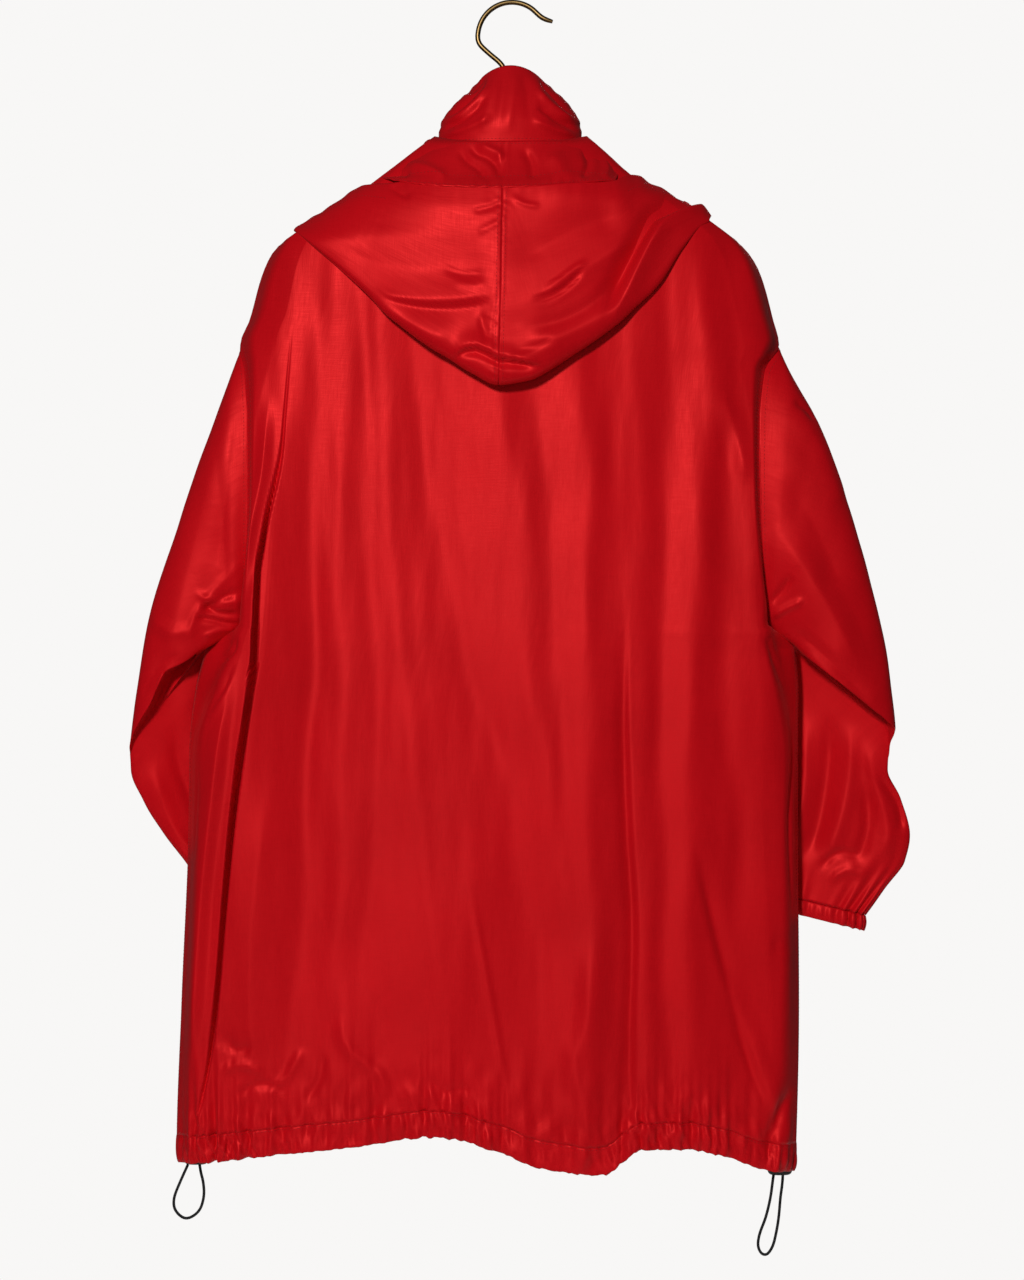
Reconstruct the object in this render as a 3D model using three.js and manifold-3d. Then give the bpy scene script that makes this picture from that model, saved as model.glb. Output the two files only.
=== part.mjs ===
// A hooded parka of thin woven nylon hanging on a coat hanger. Millimetres, +Z up.
// The origin is the inner top of the hanger's hook. The back of the garment faces -Y,
// the wearer's left is -X, and the zipped front faces +Y.
import * as THREE from "three";
import Module from "manifold-3d";
import { mergeVertices } from "three/addons/utils/BufferGeometryUtils.js";

// ---- driving dimensions ----
const clothWallSize = 1.2;      // one layer of shell cloth
const casingWall = 2.6;         // hem and cuff casings: turned cloth with a cord or elastic in it
const seamGap = 0.6;            // clear width left along every seam
const hemLevel = -975;          // mean height of the hem
const hemHeight = 22;           // height of the hem's cord channel
const hemSwingTop = -800;       // below this the rows start to follow the hem's wave
const armholeTop = -289;
const armholeBottom = -530;
const armholeDepth = 24;        // half the armhole's opening, front to back
const armholeSteps = 10;        // rows from the armhole's top to the underarm
const neckBackZ = -122;
const neckSideZ = -119;
const neckFrontZ = -190;
const neckHalfWidth = 61;
const neckMiddle = -2;
const frontEdge = 5.5;          // from the zip's centre line to each front's edge
const hoodClear = 4;            // from the back panel to the hood's inner layer
const cordSize = 2.4;
const stopper = { width: 21.5, height: 13, depth: 9 };
const wire = 4.3;               // hanger hook wire
const hookRadius = 29;          // centre line of the hook's bow
const barHalf = { y: 6, z: 8 }; // half section of the hanger bar
const barEnds = [-196, 193];

// ---- tables: one row for each section, fold or station ----
function table(names, rows) {
  const keys = names.split(" ");
  return rows.map((row) => Object.fromEntries(keys.map((key, i) => [key, row[i]])));
}

// Level sections of the body: side edges, swell behind and in front, the side seam's y, and how
// much wider the swell runs than the cut edge, where the body opens into the sleeves.
const bodySections = table("z left right back front seamY spare", [
  [-122, -66, 63, 36, 34, 0, 0],
  [-138, -90, 84, 40, 37, 0, 0],
  [-153, -111, 103, 42, 39, 0, 0],
  [-172, -140, 141, 44, 40, 0, 0],
  [-190, -170, 171, 45, 40, 0, 0],
  [-208, -201, 198, 46, 40, 0, 0],
  [-229, -212, 211, 46, 40, 0, 0],
  [-268, -223, 222, 46, 39, 0, 1],
  [-289, -231, 227, 46, 38, 0, 3],
  [-312, -226, 213, 46, 37, 0, 12],
  [-361, -223, 208, 46, 36, 0, 25],
  [-421, -223, 209, 46, 36, 0, 28],
  [-489, -225, 212, 46, 35, 0, 28],
  [-530, -227, 213, 46, 34, 0, 28],
  [-532.5, -230, 217, 46, 34, 1, 25],
  [-536, -240, 226, 46, 34, 2, 16],
  [-541.5, -252, 234, 46, 34, 3, 7],
  [-547, -261, 239, 46, 34, 3, 2],
  [-556, -268, 243, 46, 33, 4, 0],
  [-600, -275, 244, 45, 33, 9, 0],
  [-701, -276, 244, 43, 33, 9, 0],
  [-846, -282, 245, 39, 31, 9, 0],
  [-965, -286, 242, 34, 28, 7, 0],
  [-1000, -281, 240, 32, 26, 7, 0],
]);

// Folds of the body: x at the upper and lower end, half width, and height (minus is a valley).
const backFolds = table("top low topX lowX width height", [
  [-295, -985, -190, -268, 13, -17],
  [-300, -960, -170, -240, 16, 5],
  [-300, -940, -146, -144, 15, 5],
  [-330, -975, -114, -55, 15, 5],
  [-360, -560, -80, -78, 16, -5],
  [-380, -990, -58, 34, 20, 6],
  [-420, -990, 40, 66, 14, 5],
  [-520, -990, 93, 100, 12, -9],
  [-310, -970, 150, 143, 18, 6],
  [-340, -940, 182, 200, 13, -6],
  [-460, -900, 200, 226, 11, 5],
]);
const frontFolds = table("top low topX lowX width height", [
  [-320, -960, -185, -232, 16, -8],
  [-300, -975, -135, -150, 18, 6],
  [-360, -985, -84, -92, 17, -6],
  [-420, -990, -48, -52, 14, 5],
  [-380, -990, 52, 46, 15, 5],
  [-330, -985, 92, 84, 18, -7],
  [-300, -975, 140, 134, 18, 6],
  [-350, -950, 184, 196, 14, -7],
]);

// Height of the hem along the back and along the fronts.
const backHem = table("x z", [
  [-286, -984], [-259, -980], [-180, -970], [-121, -963], [-65, -956], [-10, -969], [24, -982],
  [75, -988], [109, -967], [143, -967], [177, -973], [211, -986], [245, -992],
]);
const frontHem = table("x z", [
  [-286, -974.5], [-256, -974.5], [-225, -970], [-150, -962], [-65, -953], [-14, -960], [60, -972],
  [120, -960], [180, -966], [212, -983.4], [245, -983.4],
]);

// Stations of each sleeve after the armhole: the upper and the lower edge of the flattened tube,
// its half depth behind and in front, and the share by which its back is folded up the sleeve.
const sleeveColumns = "outerX outerY outerZ innerX innerY innerZ back front tuck";
const leftSleeve = table(sleeveColumns, [
  [-240, 0, -318, -232, -2, -529.5, 25, 22, 0],
  [-252, 0, -353, -237, -4, -531, 25, 20, 0],
  [-282, 0, -438, -246, -7, -534.5, 24, 17, 0],
  [-308, -2, -523, -256, -9, -540, 22, 14, 0],
  [-319, -3, -585, -261, -9, -543.5, 20, 13, 0],
  [-324, -4, -629, -265, -8, -548, 18, 12, 0.15],
  [-325, 3, -638, -261, 23, -550, 7, 12, 0.4],
  [-325, 8, -650, -246, 34, -560, 9, 11, 0],
  [-315, 13, -678, -238, 42, -612, 10, 11, 0],
  [-300, 18, -704, -214, 48, -650, 10, 11, 0],
  [-280, 22, -730, -194, 49, -684, 10, 11, 0],
  [-260, 27, -762, -183, 50, -717, 9, 10, 0],
]);
const rightSleeve = table(sleeveColumns, [
  [236, 0, -312, 218, -2, -529.5, 25, 22, 0],
  [258, 0, -353, 223, -4, -531, 25, 20, 0],
  [287, 0, -429, 231, -7, -535, 24, 17, 0],
  [304, -2, -489, 238, -9, -540, 22, 14, 0],
  [317, -3, -548, 243, -9, -544, 20, 13, 0],
  [325, -4, -615, 247, -6, -549, 18, 12, 0],
  [322, 2, -631, 240, 18, -550, 7, 12, 0.4],
  [321, 7, -650, 230, 31, -561, 9, 11, 0],
  [333, 12, -676, 226, 38, -612, 10, 12, 0],
  [341, 16, -707, 214, 42, -660, 11, 12, 0],
  [337, 20, -730, 207, 43, -706, 11, 12, 0],
  [318, 24, -757, 211, 42, -738, 10, 11, 0],
  [303, 26, -776, 215, 41, -755, 9, 10, 0],
]);
const cuffDrop = { left: [8, -12], right: [-1, -13] };

// Rings of the collar above its seam.
const collarRings = table("sideZ left right backZ backY frontZ frontY", [
  [-104, -61, 58, -104, -38, -166, 36],
  [-92, -55, 53, -88, -34, -146, 31],
  [-79, -42, 42, -71, -26, -126, 26],
  [-64, -27, 25, -55, -16, -106, 21],
]);

// Neck band of the hood: its upper and lower edge, and the clear distance of each from the back.
const bandStations = table("u topX topZ lowX lowZ topClear lowClear", [
  [0, -110, -145, -111, -151, 3.4, 5.4],
  [1, -90, -132, -93, -158, 3.4, 11.4],
  [2, -70, -117.5, -70, -163, 3.4, 15.4],
  [3, -48, -122.4, -46, -165, 1.6, 16.8],
  [4, -6, -123.4, -6, -166, 0.7, 17.4],
  [5, 38, -122.2, 34, -164, 1.6, 16.8],
  [6, 64, -117.5, 58, -161, 3.4, 15.4],
  [7, 78, -130, 72, -159, 3.4, 13.4],
  [8, 93, -141, 86, -157, 3.4, 10.4],
]);

// Hood: its upper edge, the fold along its lower outline, how far it stands off the back, and
// how far its upper edge does.
const hoodStations = table("u topX topZ foldX foldZ lift topLift", [
  [0, -182, -190, -184, -195, 7, 2],
  [1, -155, -175, -162, -215, 13, 3],
  [2, -124, -157, -130, -245, 21, 4],
  [3, -93, -160, -97, -275, 27, 8],
  [4, -60, -165.6, -60, -302, 32, 12.6],
  [5, -30, -167.2, -34, -319, 34, 13.6],
  [6, -8, -167.8, -11, -329, 34, 14],
  [7, 20, -166.6, 14, -325.5, 34, 13.8],
  [8, 54, -163.6, 54, -301, 32, 12.2],
  [9, 84, -160.4, 92, -272, 28, 7],
  [10, 103, -149, 121, -246, 22, 4],
  [11, 130, -159, 142, -214, 14, 3],
  [12, 156, -172, 157, -195, 9, 3],
  [13, 167, -184, 165, -189, 7, 2],
]);
const hoodSeamU = 6;

// Free loops of hem cord below the stoppers, placed by hand: x and z, in the stopper's plane.
const leftLoop = [
  [-277, -988.4], [-280, -995], [-284, -1004], [-289, -1018], [-288, -1027], [-279, -1034.5],
  [-268, -1028.5], [-263.5, -1016], [-264, -1003], [-266, -995], [-267, -988.4],
];
const rightLoop = [
  [223.5, -997.4], [222.5, -1005], [221, -1016], [217, -1033], [212, -1050], [212, -1060],
  [216, -1067], [221, -1060], [225, -1045.5], [228, -1033], [229.5, -1016], [231, -1005],
  [231.5, -997.4],
];

// ---- small helpers ----
const lerp = THREE.MathUtils.lerp;
const clamp = THREE.MathUtils.clamp;
const smoothstep = THREE.MathUtils.smoothstep;

// A smooth curve through one column of a table, with no overshoot between rows.
function curve(rows, key, name) {
  const at = rows.map((row) => row[key]);
  const value = rows.map((row) => row[name]);
  const chord = at.slice(1).map((x, i) => (value[i + 1] - value[i]) / (x - at[i]));
  const slope = value.map((v, i) => {
    const before = chord[Math.max(i - 1, 0)];
    const after = chord[Math.min(i, chord.length - 1)];
    return before * after <= 0 ? 0 : (2 * before * after) / (before + after);
  });
  const rising = at[1] > at[0];
  return (x) => {
    let i = 0;
    while (i < at.length - 2 && (rising ? x > at[i + 1] : x < at[i + 1])) i += 1;
    const span = at[i + 1] - at[i];
    const t = clamp((x - at[i]) / span, 0, 1);
    const bend = t * t * (3 - 2 * t);
    const ease = t * (1 - t) * span;
    return lerp(value[i], value[i + 1], bend) + ease * (slope[i] * (1 - t) - slope[i + 1] * t);
  };
}

function curves(rows, key) {
  const names = Object.keys(rows[0]).filter((name) => name !== key);
  return Object.fromEntries(names.map((name) => [name, curve(rows, key, name)]));
}

function steps(count) {
  return Array.from({ length: count + 1 }, (_, i) => i / count);
}

// ---- turning grids of points into closed bodies ----
function gridNormals(rows, ring, turn) {
  const normals = rows.map((row) => row.map(() => new THREE.Vector3()));
  const width = rows[0].length;
  for (let i = 0; i < rows.length - 1; i += 1) {
    for (let j = 0; j < (ring ? width : width - 1); j += 1) {
      const k = (j + 1) % width;
      const down = rows[i + 1][k].clone().sub(rows[i][j]);
      const along = rows[i][k].clone().sub(rows[i + 1][j]);
      const face = new THREE.Vector3().crossVectors(down, along).multiplyScalar(turn);
      for (const normal of [normals[i][j], normals[i][k], normals[i + 1][j], normals[i + 1][k]]) {
        normal.add(face);
      }
    }
  }
  normals.forEach((row) => row.forEach((normal) => normal.normalize()));
  return normals;
}

function closedGeometry(points, triangles) {
  const volume = triangles.reduce((sum, [a, b, c]) => {
    const cross = new THREE.Vector3().crossVectors(points[b], points[c]);
    return sum + points[a].dot(cross);
  }, 0);
  const outward = volume > 0 ? triangles : triangles.map(([a, b, c]) => [a, c, b]);
  const geometry = new THREE.BufferGeometry();
  const position = points.flatMap((point) => point.toArray());
  geometry.setAttribute("position", new THREE.Float32BufferAttribute(position, 3));
  geometry.setIndex(outward.flat());
  geometry.computeVertexNormals();
  return geometry;
}

// A wall of cloth: the grid is its outer face, and the inner face lies one thickness inside.
// With ring the columns run all the way round; keep may hold an inner point to its own side.
function wall(rows, { thickness = clothWallSize, ring = false, turn = 1, keep = (p) => p } = {}) {
  const normals = gridNormals(rows, ring, turn);
  const inner = rows.map((row, i) => row.map((point, j) =>
    keep(point.clone().addScaledVector(normals[i][j], -thickness), point)));
  const width = rows[0].length;
  const count = rows.length * width;
  const points = [...rows.flat(), ...inner.flat()];
  const triangles = [];
  const quad = (a, b, c, d) => triangles.push([a, b, c], [a, c, d]);
  const columns = ring ? width : width - 1;
  for (let i = 0; i < rows.length - 1; i += 1) {
    for (let j = 0; j < columns; j += 1) {
      const k = (j + 1) % width;
      const [a, b, c, d] = [i * width + j, i * width + k, (i + 1) * width + k, (i + 1) * width + j];
      quad(a, b, c, d);
      quad(count + a, count + d, count + c, count + b);
    }
  }
  const last = (rows.length - 1) * width;
  for (let j = 0; j < columns; j += 1) {
    const k = (j + 1) % width;
    quad(count + j, count + k, k, j);
    quad(last + j, last + k, count + last + k, count + last + j);
  }
  for (let i = 0; i < rows.length - 1 && !ring; i += 1) {
    const [a, b] = [i * width, (i + 1) * width];
    quad(a, b, count + b, count + a);
    quad(count + a + width - 1, count + b + width - 1, b + width - 1, a + width - 1);
  }
  return closedGeometry(points, triangles);
}

// A solid bar through rings of points, with flat ends.
function bar(rings) {
  const width = rings[0].length;
  const triangles = [];
  for (let i = 0; i < rings.length - 1; i += 1) {
    for (let j = 0; j < width; j += 1) {
      const k = (j + 1) % width;
      const [a, b, c, d] = [i * width + j, i * width + k, (i + 1) * width + k, (i + 1) * width + j];
      triangles.push([a, b, c], [a, c, d]);
    }
  }
  const last = (rings.length - 1) * width;
  for (let j = 1; j < width - 1; j += 1) {
    triangles.push([0, j + 1, j], [last, last + j, last + j + 1]);
  }
  return closedGeometry(rings.flat(), triangles);
}

// ---- shape of the body ----
const body = curves(bodySections, "z");
const hems = { back: curve(backHem, "x", "z"), front: curve(frontHem, "x", "z") };
const armholeMiddle = (armholeTop + armholeBottom) / 2;
const armholeReach = (armholeTop - armholeBottom) / 2;

function armholeHalf(z) {
  const t = (z - armholeMiddle) / armholeReach;
  return armholeDepth * Math.sqrt(Math.max(0, 1 - t * t));
}

function foldHeight(folds, x, z) {
  return folds.reduce((sum, fold) => {
    const t = (z - fold.top) / (fold.low - fold.top);
    if (t <= 0 || t >= 1.15) return sum;
    const away = (x - lerp(fold.topX, fold.lowX, t)) / fold.width;
    return sum + fold.height * smoothstep(t, 0, 0.25) * Math.exp(-away * away);
  }, 0);
}

// Half width-wise swell of a level section: 1 in the middle and 0 at its side edges.
function swellAt(across, power) {
  return Math.pow(Math.max(0, 1 - Math.abs(across) ** 2.2), power);
}

// Point of the body's outer face. side is -1 behind and 1 in front; across is -1...1.
function bodyPoint(side, across, z) {
  const back = side < 0;
  const power = back ? 0.5 : lerp(0.5, 0.85, smoothstep(-z, -armholeBottom, 640));
  const middle = (body.left(z) + body.right(z)) / 2;
  const spare = body.spare(z);
  const half = body.right(z) - middle + spare;
  const edge = across ** 6;
  const x = middle + across * (half - spare * edge);
  const full = back ? body.back(z) : body.front(z);
  const cut = armholeHalf(z) - full * swellAt(1 - spare / half, power);
  const depth = full * swellAt((x - middle) / half, power) + cut * edge * edge;
  const inside = Math.min(1, (1 - Math.abs(across)) * 9);
  const fold = foldHeight(back ? backFolds : frontFolds, x, z) * inside;
  const hem = (back ? hems.back : hems.front)(x) - hemLevel;
  const out = seamGap / 2 + depth + Math.max(fold, -0.7 * depth);
  const y = body.seamY(z) * across ** 4 + side * out;
  return new THREE.Vector3(x, y, z + hem * smoothstep(-z, -hemSwingTop, -hemLevel));
}

// Place across the body of a point at x; the seams' own pull on the outermost tenth is left out.
function acrossAt(x, z, spread = 0) {
  const middle = (body.left(z) + body.right(z)) / 2;
  const half = body.right(z) - middle + body.spare(z) + spread;
  return clamp((x - middle) / half, -1, 1);
}

// The point over the back panel at x and z, on a body grown by clear. The sloping shoulders
// grow twice as far sideways, so that the clear distance is the same at right angles to them.
function overBack(x, z, clear) {
  const spread = clear * lerp(2, 1, smoothstep(-z, 190, 289));
  const swell = (body.back(z) + clear) * swellAt(acrossAt(x, z, spread), 0.5);
  const fold = foldHeight(backFolds, x, z);
  return new THREE.Vector3(x, -(seamGap / 2 + swell + fold), z);
}

const shoulderRows = [-122.4, -131, -142, -156, -172, -188, -202, -216, -240, -265];
const armholeRows = steps(armholeSteps).map((t) =>
  armholeMiddle + armholeReach * Math.cos(t * Math.PI));
const sideRows = [-532.5, -536, -541.5, -547, -558, -600, -660, -730, -800, -860, -910, hemLevel + hemHeight];
const bodyRows = [...shoulderRows, ...armholeRows, ...sideRows];
const hemRows = [0, 0.5, 1].map((t) => lerp(hemLevel + hemHeight - seamGap, hemLevel, t));

function keepSide(side) {
  return (inner, outer) => {
    const seam = body.seamY(outer.z) * 0.9;
    inner.y = seam + side * Math.max(seamGap / 2, side * (inner.y - seam));
    inner.x = clamp(inner.x, body.left(outer.z), body.right(outer.z));
    return inner;
  };
}

const backColumns = steps(18).map((t) => {
  const even = 2 * t - 1;
  return lerp(even, Math.sin((even * Math.PI) / 2), 0.7);
});

function backGrid(rows) {
  return rows.map((z) => backColumns.map((across) => bodyPoint(-1, across, z)));
}

// ---- centre front ----
function centreFront(z) {
  return lerp(neckMiddle, -14, clamp((neckFrontZ - z) / (neckFrontZ - hemLevel), 0, 1));
}

// Half width of the scooped neckline at z, from the shoulder to the zip.
function neckHalf(z) {
  const t = clamp((neckSideZ - z) / (neckSideZ - neckFrontZ), 0, 1);
  return Math.max(neckHalfWidth * Math.sqrt(1 - t * t * 0.999), frontEdge);
}

function frontGrid(hand, rows) {
  return rows.map((z) => {
    const reach = z > neckFrontZ ? neckHalf(z) : frontEdge;
    const inner = acrossAt(centreFront(z) + hand * reach, z);
    return steps(9).map((t) =>
      bodyPoint(1, lerp(hand, inner, 1 - Math.cos((t * Math.PI) / 2)), z));
  });
}

// ---- sleeves ----
// One ring of the flattened tube: from the upper edge, down the back, and up the front.
function sleeveRing(station, before) {
  const count = 2 * armholeSteps;
  return Array.from({ length: count }, (_, i) => {
    const angle = (i * 2 * Math.PI) / count;
    const t = (1 - Math.cos(angle)) / 2;
    const behind = Math.sin(angle) > 0;
    const swell = Math.abs(Math.sin(angle)) ** 0.85;
    const y = lerp(station.outerY, station.innerY, t) - (behind ? station.back : -station.front) * swell;
    const point = new THREE.Vector3(
      lerp(station.outerX, station.innerX, t), y, lerp(station.outerZ, station.innerZ, t));
    if (station.tuck && behind) {
      point.x = lerp(point.x, before[i].x, station.tuck * swell);
      point.z = lerp(point.z, before[i].z, station.tuck * swell);
    }
    return point;
  });
}

function armholeRing(hand) {
  const edge = hand < 0 ? body.left : body.right;
  const gap = hand * 1.5 * seamGap;
  const count = 2 * armholeSteps;
  return Array.from({ length: count }, (_, i) => {
    const z = armholeMiddle + armholeReach * Math.cos((i * 2 * Math.PI) / count);
    const side = i === 0 || i === armholeSteps ? 0 : Math.sign(armholeSteps - i);
    return new THREE.Vector3(edge(z) + gap, -side * (armholeHalf(z) + seamGap / 2), z);
  });
}

function sleeveRings(hand, stations) {
  const rings = [armholeRing(hand)];
  stations.forEach((station) => rings.push(sleeveRing(station, rings[Math.max(0, rings.length - 2)])));
  return rings;
}

function shifted(ring, x, z) {
  return ring.map((point) => new THREE.Vector3(point.x + x, point.y, point.z + z));
}

// The elastic casing that ends a sleeve, a little fuller than the sleeve's last ring.
function cuffRings(ring, [x, z]) {
  const middle = ring.reduce((sum, point) => sum.add(point), new THREE.Vector3()).divideScalar(ring.length);
  const away = seamGap / Math.hypot(x, z);
  return [away, 0.5, 1].map((t, i) => {
    const full = i === 1 ? 1.03 : 1;
    return shifted(ring, x * t, z * t).map((point) => {
      const centre = middle.clone().add(new THREE.Vector3(x * t, 0, z * t));
      return point.clone().sub(centre).multiplyScalar(full).add(centre);
    });
  });
}

// ---- collar ----
// The collar's seam follows the back panel's top edge and the scooped front neckline.
function collarSeam(angle) {
  const side = Math.sin(angle);
  const x = neckMiddle + neckHalfWidth * side;
  if (Math.cos(angle) < 0) {
    const point = bodyPoint(-1, acrossAt(x, neckBackZ), neckBackZ);
    return new THREE.Vector3(x, point.y + 0.4, neckBackZ + seamGap);
  }
  const z = lerp(neckSideZ, neckFrontZ, Math.cos(angle)) + 1.5;
  const point = bodyPoint(1, acrossAt(x, z), z);
  const tight = Math.sin(angle) * 1.2;
  return new THREE.Vector3(x - tight, point.y * 0.96, z);
}

function collarRing(ring, angle) {
  const side = Math.sin(angle);
  const facing = Math.cos(angle);
  const middle = (ring.left + ring.right) / 2;
  const y = facing < 0 ? -facing * ring.backY : facing * ring.frontY;
  const end = facing < 0 ? ring.backZ : ring.frontZ;
  const z = lerp(ring.sideZ, end, facing * facing);
  return new THREE.Vector3(middle + side * (ring.right - middle), y, z);
}

function collarGrid() {
  const gap = 0.12;
  const angles = steps(22).map((t) => lerp(-gap, gap - 2 * Math.PI, t));
  return [
    angles.map((angle) => collarSeam(angle)),
    ...collarRings.map((ring) => angles.map((angle) => collarRing(ring, angle))),
  ].reverse();
}

// ---- hood ----
const band = curves(bandStations, "u");
const hood = curves(hoodStations, "u");

function bandGrid() {
  return steps(3).map((v) => steps(16).map((t) => {
    const u = 8 * t;
    const x = lerp(band.topX(u), band.lowX(u), v);
    const z = lerp(band.topZ(u), band.lowZ(u), v);
    return overBack(x, z, clothWallSize + lerp(band.topClear(u), band.lowClear(u), v * v));
  }));
}

// Outer layer down to the fold, round it, and the inner layer up again beside the back panel:
// how far down, and the shares of the full and of the upper stand-off.
const hoodPath = table("down lift top", [
  [0, 0, 1], [0.12, 0.4, 0.6], [0.3, 0.8, 0.2], [0.5, 1, 0], [0.7, 1.02, 0], [0.86, 0.86, 0],
  [0.96, 0.55, 0], [1, 0.24, 0], [0.97, 0.04, 0], [0.85, 0, 0], [0.58, 0, 0], [0.34, 0, 0],
  [0.2, 0, 0.03], [0.1, 0, 0.07], [0.04, 0, 0.1],
]);

function hoodPoint(u, stop) {
  const x = lerp(hood.topX(u), hood.foldX(u), stop.down);
  const z = lerp(hood.topZ(u), hood.foldZ(u), stop.down);
  const lift = stop.lift * hood.lift(u) + stop.top * hood.topLift(u);
  return overBack(x, z, hoodClear + clothWallSize + lift);
}

function hoodGrid(from, to) {
  return hoodPath.map((stop) => steps(10).map((t) => hoodPoint(lerp(from, to, t), stop)));
}

// ---- hem cord ----
function cordTube(points, y) {
  const path = new THREE.CatmullRomCurve3(points.map(([x, z]) => new THREE.Vector3(x, y, z)));
  const section = new THREE.Shape();
  steps(8).slice(1).forEach((t, i) => {
    const angle = t * 2 * Math.PI;
    const spot = [Math.cos(angle) * (cordSize / 2), Math.sin(angle) * (cordSize / 2)];
    if (i === 0) section.moveTo(...spot);
    else section.lineTo(...spot);
  });
  const count = Math.round(path.getLength() / (2.5 * cordSize));
  return new THREE.ExtrudeGeometry(section, { steps: count, bevelEnabled: false, extrudePath: path });
}

// An oval bead with flat ends above and below, where the two strands pass.
function stopperGeometry() {
  const sides = 20;
  const profile = [[-0.5, 0.7], [-0.36, 0.94], [-0.12, 1], [0.12, 1], [0.36, 0.94], [0.5, 0.7]];
  return bar(profile.map(([level, share]) => steps(sides).slice(0, sides).map((t) => {
    const angle = t * 2 * Math.PI;
    return new THREE.Vector3(
      Math.cos(angle) * share * (stopper.width / 2),
      Math.sin(angle) * share * (stopper.depth / 2),
      level * stopper.height);
  })));
}

// ---- zip ----
const zip = {
  sliderZ: -212, chainHalf: 2.6, chainDepth: 3.4, tapeFrom: 3.1, tapeTo: 15, tapeWall: 1,
  sliderHalf: 4.8, sliderLength: 12, plate: 1.6, pinRadius: 0.8, pinOut: 2.8,
  pullHalf: 2.4, pullLength: 24, pullWall: 1.4, eye: 2.1, eyeHole: 1.3,
};
const zipRows = [...bodyRows.filter((z) => z < neckFrontZ - 4), hemLevel];

function frontAt(x, z) {
  return bodyPoint(1, acrossAt(x, z), z);
}

function zipTapeGrid(hand) {
  return zipRows.map((z) => [zip.tapeTo, zip.tapeFrom].map((reach) => {
    const point = frontAt(centreFront(z) + hand * reach, z);
    point.y -= casingWall + 0.5;
    return point;
  }));
}

function chainGeometry() {
  const top = frontAt(centreFront(zip.sliderZ), zip.sliderZ);
  top.z = zip.sliderZ - zip.sliderLength / 4;
  const line = [top, ...zipRows.map((z) => frontAt(centreFront(z), z))].filter(
    (point, i) => i === 0 || point.z < top.z - 2);
  return bar(line.map((point) => [[-1, 0], [1, 0], [1, 1], [-1, 1]].map(([x, y]) => new THREE.Vector3(
    point.x + x * zip.chainHalf, point.y - y * zip.chainDepth, point.z))));
}

const wasm = await Module();
wasm.setup();

function toManifold(geometry) {
  const plain = geometry.clone();
  plain.deleteAttribute("normal");
  plain.deleteAttribute("uv");
  const merged = mergeVertices(plain, 1e-4);
  return new wasm.Manifold(new wasm.Mesh({
    numProp: 3,
    vertProperties: merged.attributes.position.array,
    triVerts: new Uint32Array(merged.index.array),
  }));
}

function fromManifold(solid) {
  const mesh = solid.getMesh();
  const geometry = new THREE.BufferGeometry();
  geometry.setAttribute("position", new THREE.Float32BufferAttribute(mesh.vertProperties, 3));
  geometry.setIndex([...mesh.triVerts]);
  geometry.computeVertexNormals();
  return geometry;
}

function box(x, y, z, at) {
  return toManifold(new THREE.BoxGeometry(x, y, z).translate(...at));
}

function crossPin(radius, length, at) {
  const geometry = new THREE.CylinderGeometry(radius, radius, length, 16).rotateZ(Math.PI / 2);
  return toManifold(geometry.translate(...at));
}

const sliderAt = frontAt(centreFront(zip.sliderZ), zip.sliderZ);
const chainOut = 0.5;
const plateY = chainOut + zip.plate / 2;
const pinY = chainOut + zip.plate + zip.pinOut;

// The slider about its own middle: a plate before and behind the chain, the wedge that joins
// them above the chain's end, and two ears with the pin that the pull swings on.
function sliderGeometry() {
  const rearY = -zip.chainDepth - 1.2 - zip.plate / 2;
  const wide = zip.sliderHalf * 2;
  const wedgeLength = zip.sliderLength / 2;
  let solid = box(wide, zip.plate, zip.sliderLength, [0, plateY, 0]);
  solid = solid.add(box(wide, zip.plate, zip.sliderLength, [0, rearY, 0]));
  const span = plateY - rearY;
  solid = solid.add(box(4, span, wedgeLength, [0, (plateY + rearY) / 2, wedgeLength / 2 - 0.5]));
  for (const hand of [-1, 1]) {
    const x = hand * (zip.pullHalf + 1.1);
    solid = solid.add(box(1.2, pinY - plateY, 3.4, [x, (plateY + pinY) / 2, 0]));
    solid = solid.add(crossPin(1.7, 1.2, [x, pinY, 0]));
  }
  return fromManifold(solid.add(crossPin(zip.pinRadius, 2 * zip.pullHalf + 2, [0, pinY, 0])));
}

// The pull about its pin: a barrel with a hole and a plain tab that hangs from it.
function pullGeometry() {
  const wide = 2 * zip.pullHalf;
  const tab = box(wide, zip.pullWall, zip.pullLength, [0, 0, -zip.pullLength / 2 - zip.eyeHole]);
  const barrel = crossPin(zip.eye, wide, [0, 0, 0]);
  return fromManifold(barrel.add(tab).subtract(crossPin(zip.eyeHole, wide + 2, [0, 0, 0])));
}

// ---- hanger ----
const hookCentreZ = -hookRadius + wire / 2;

function hookPath() {
  const bow = steps(6).map((t) => {
    const angle = THREE.MathUtils.degToRad(lerp(190, 58, t));
    return new THREE.Vector3(hookRadius * Math.cos(angle), 0, hookCentreZ + hookRadius * Math.sin(angle));
  });
  const stem = [[-3, -124], [-3, -90], [-3.6, -66], [-8, -52], [-20, -41]];
  const tip = [[26, -11.5], [34.5, -14.5]];
  const points = [stem, tip].map((list) => list.map(([x, z]) => new THREE.Vector3(x, 0, z)));
  return new THREE.CatmullRomCurve3([...points[0], ...bow, ...points[1]]);
}

function hookGeometry() {
  const section = new THREE.Shape();
  section.absarc(0, 0, wire / 2, 0, 2 * Math.PI);
  const settings = { steps: 56, curveSegments: 5, bevelEnabled: false, extrudePath: hookPath() };
  return new THREE.ExtrudeGeometry(section, settings);
}

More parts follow.
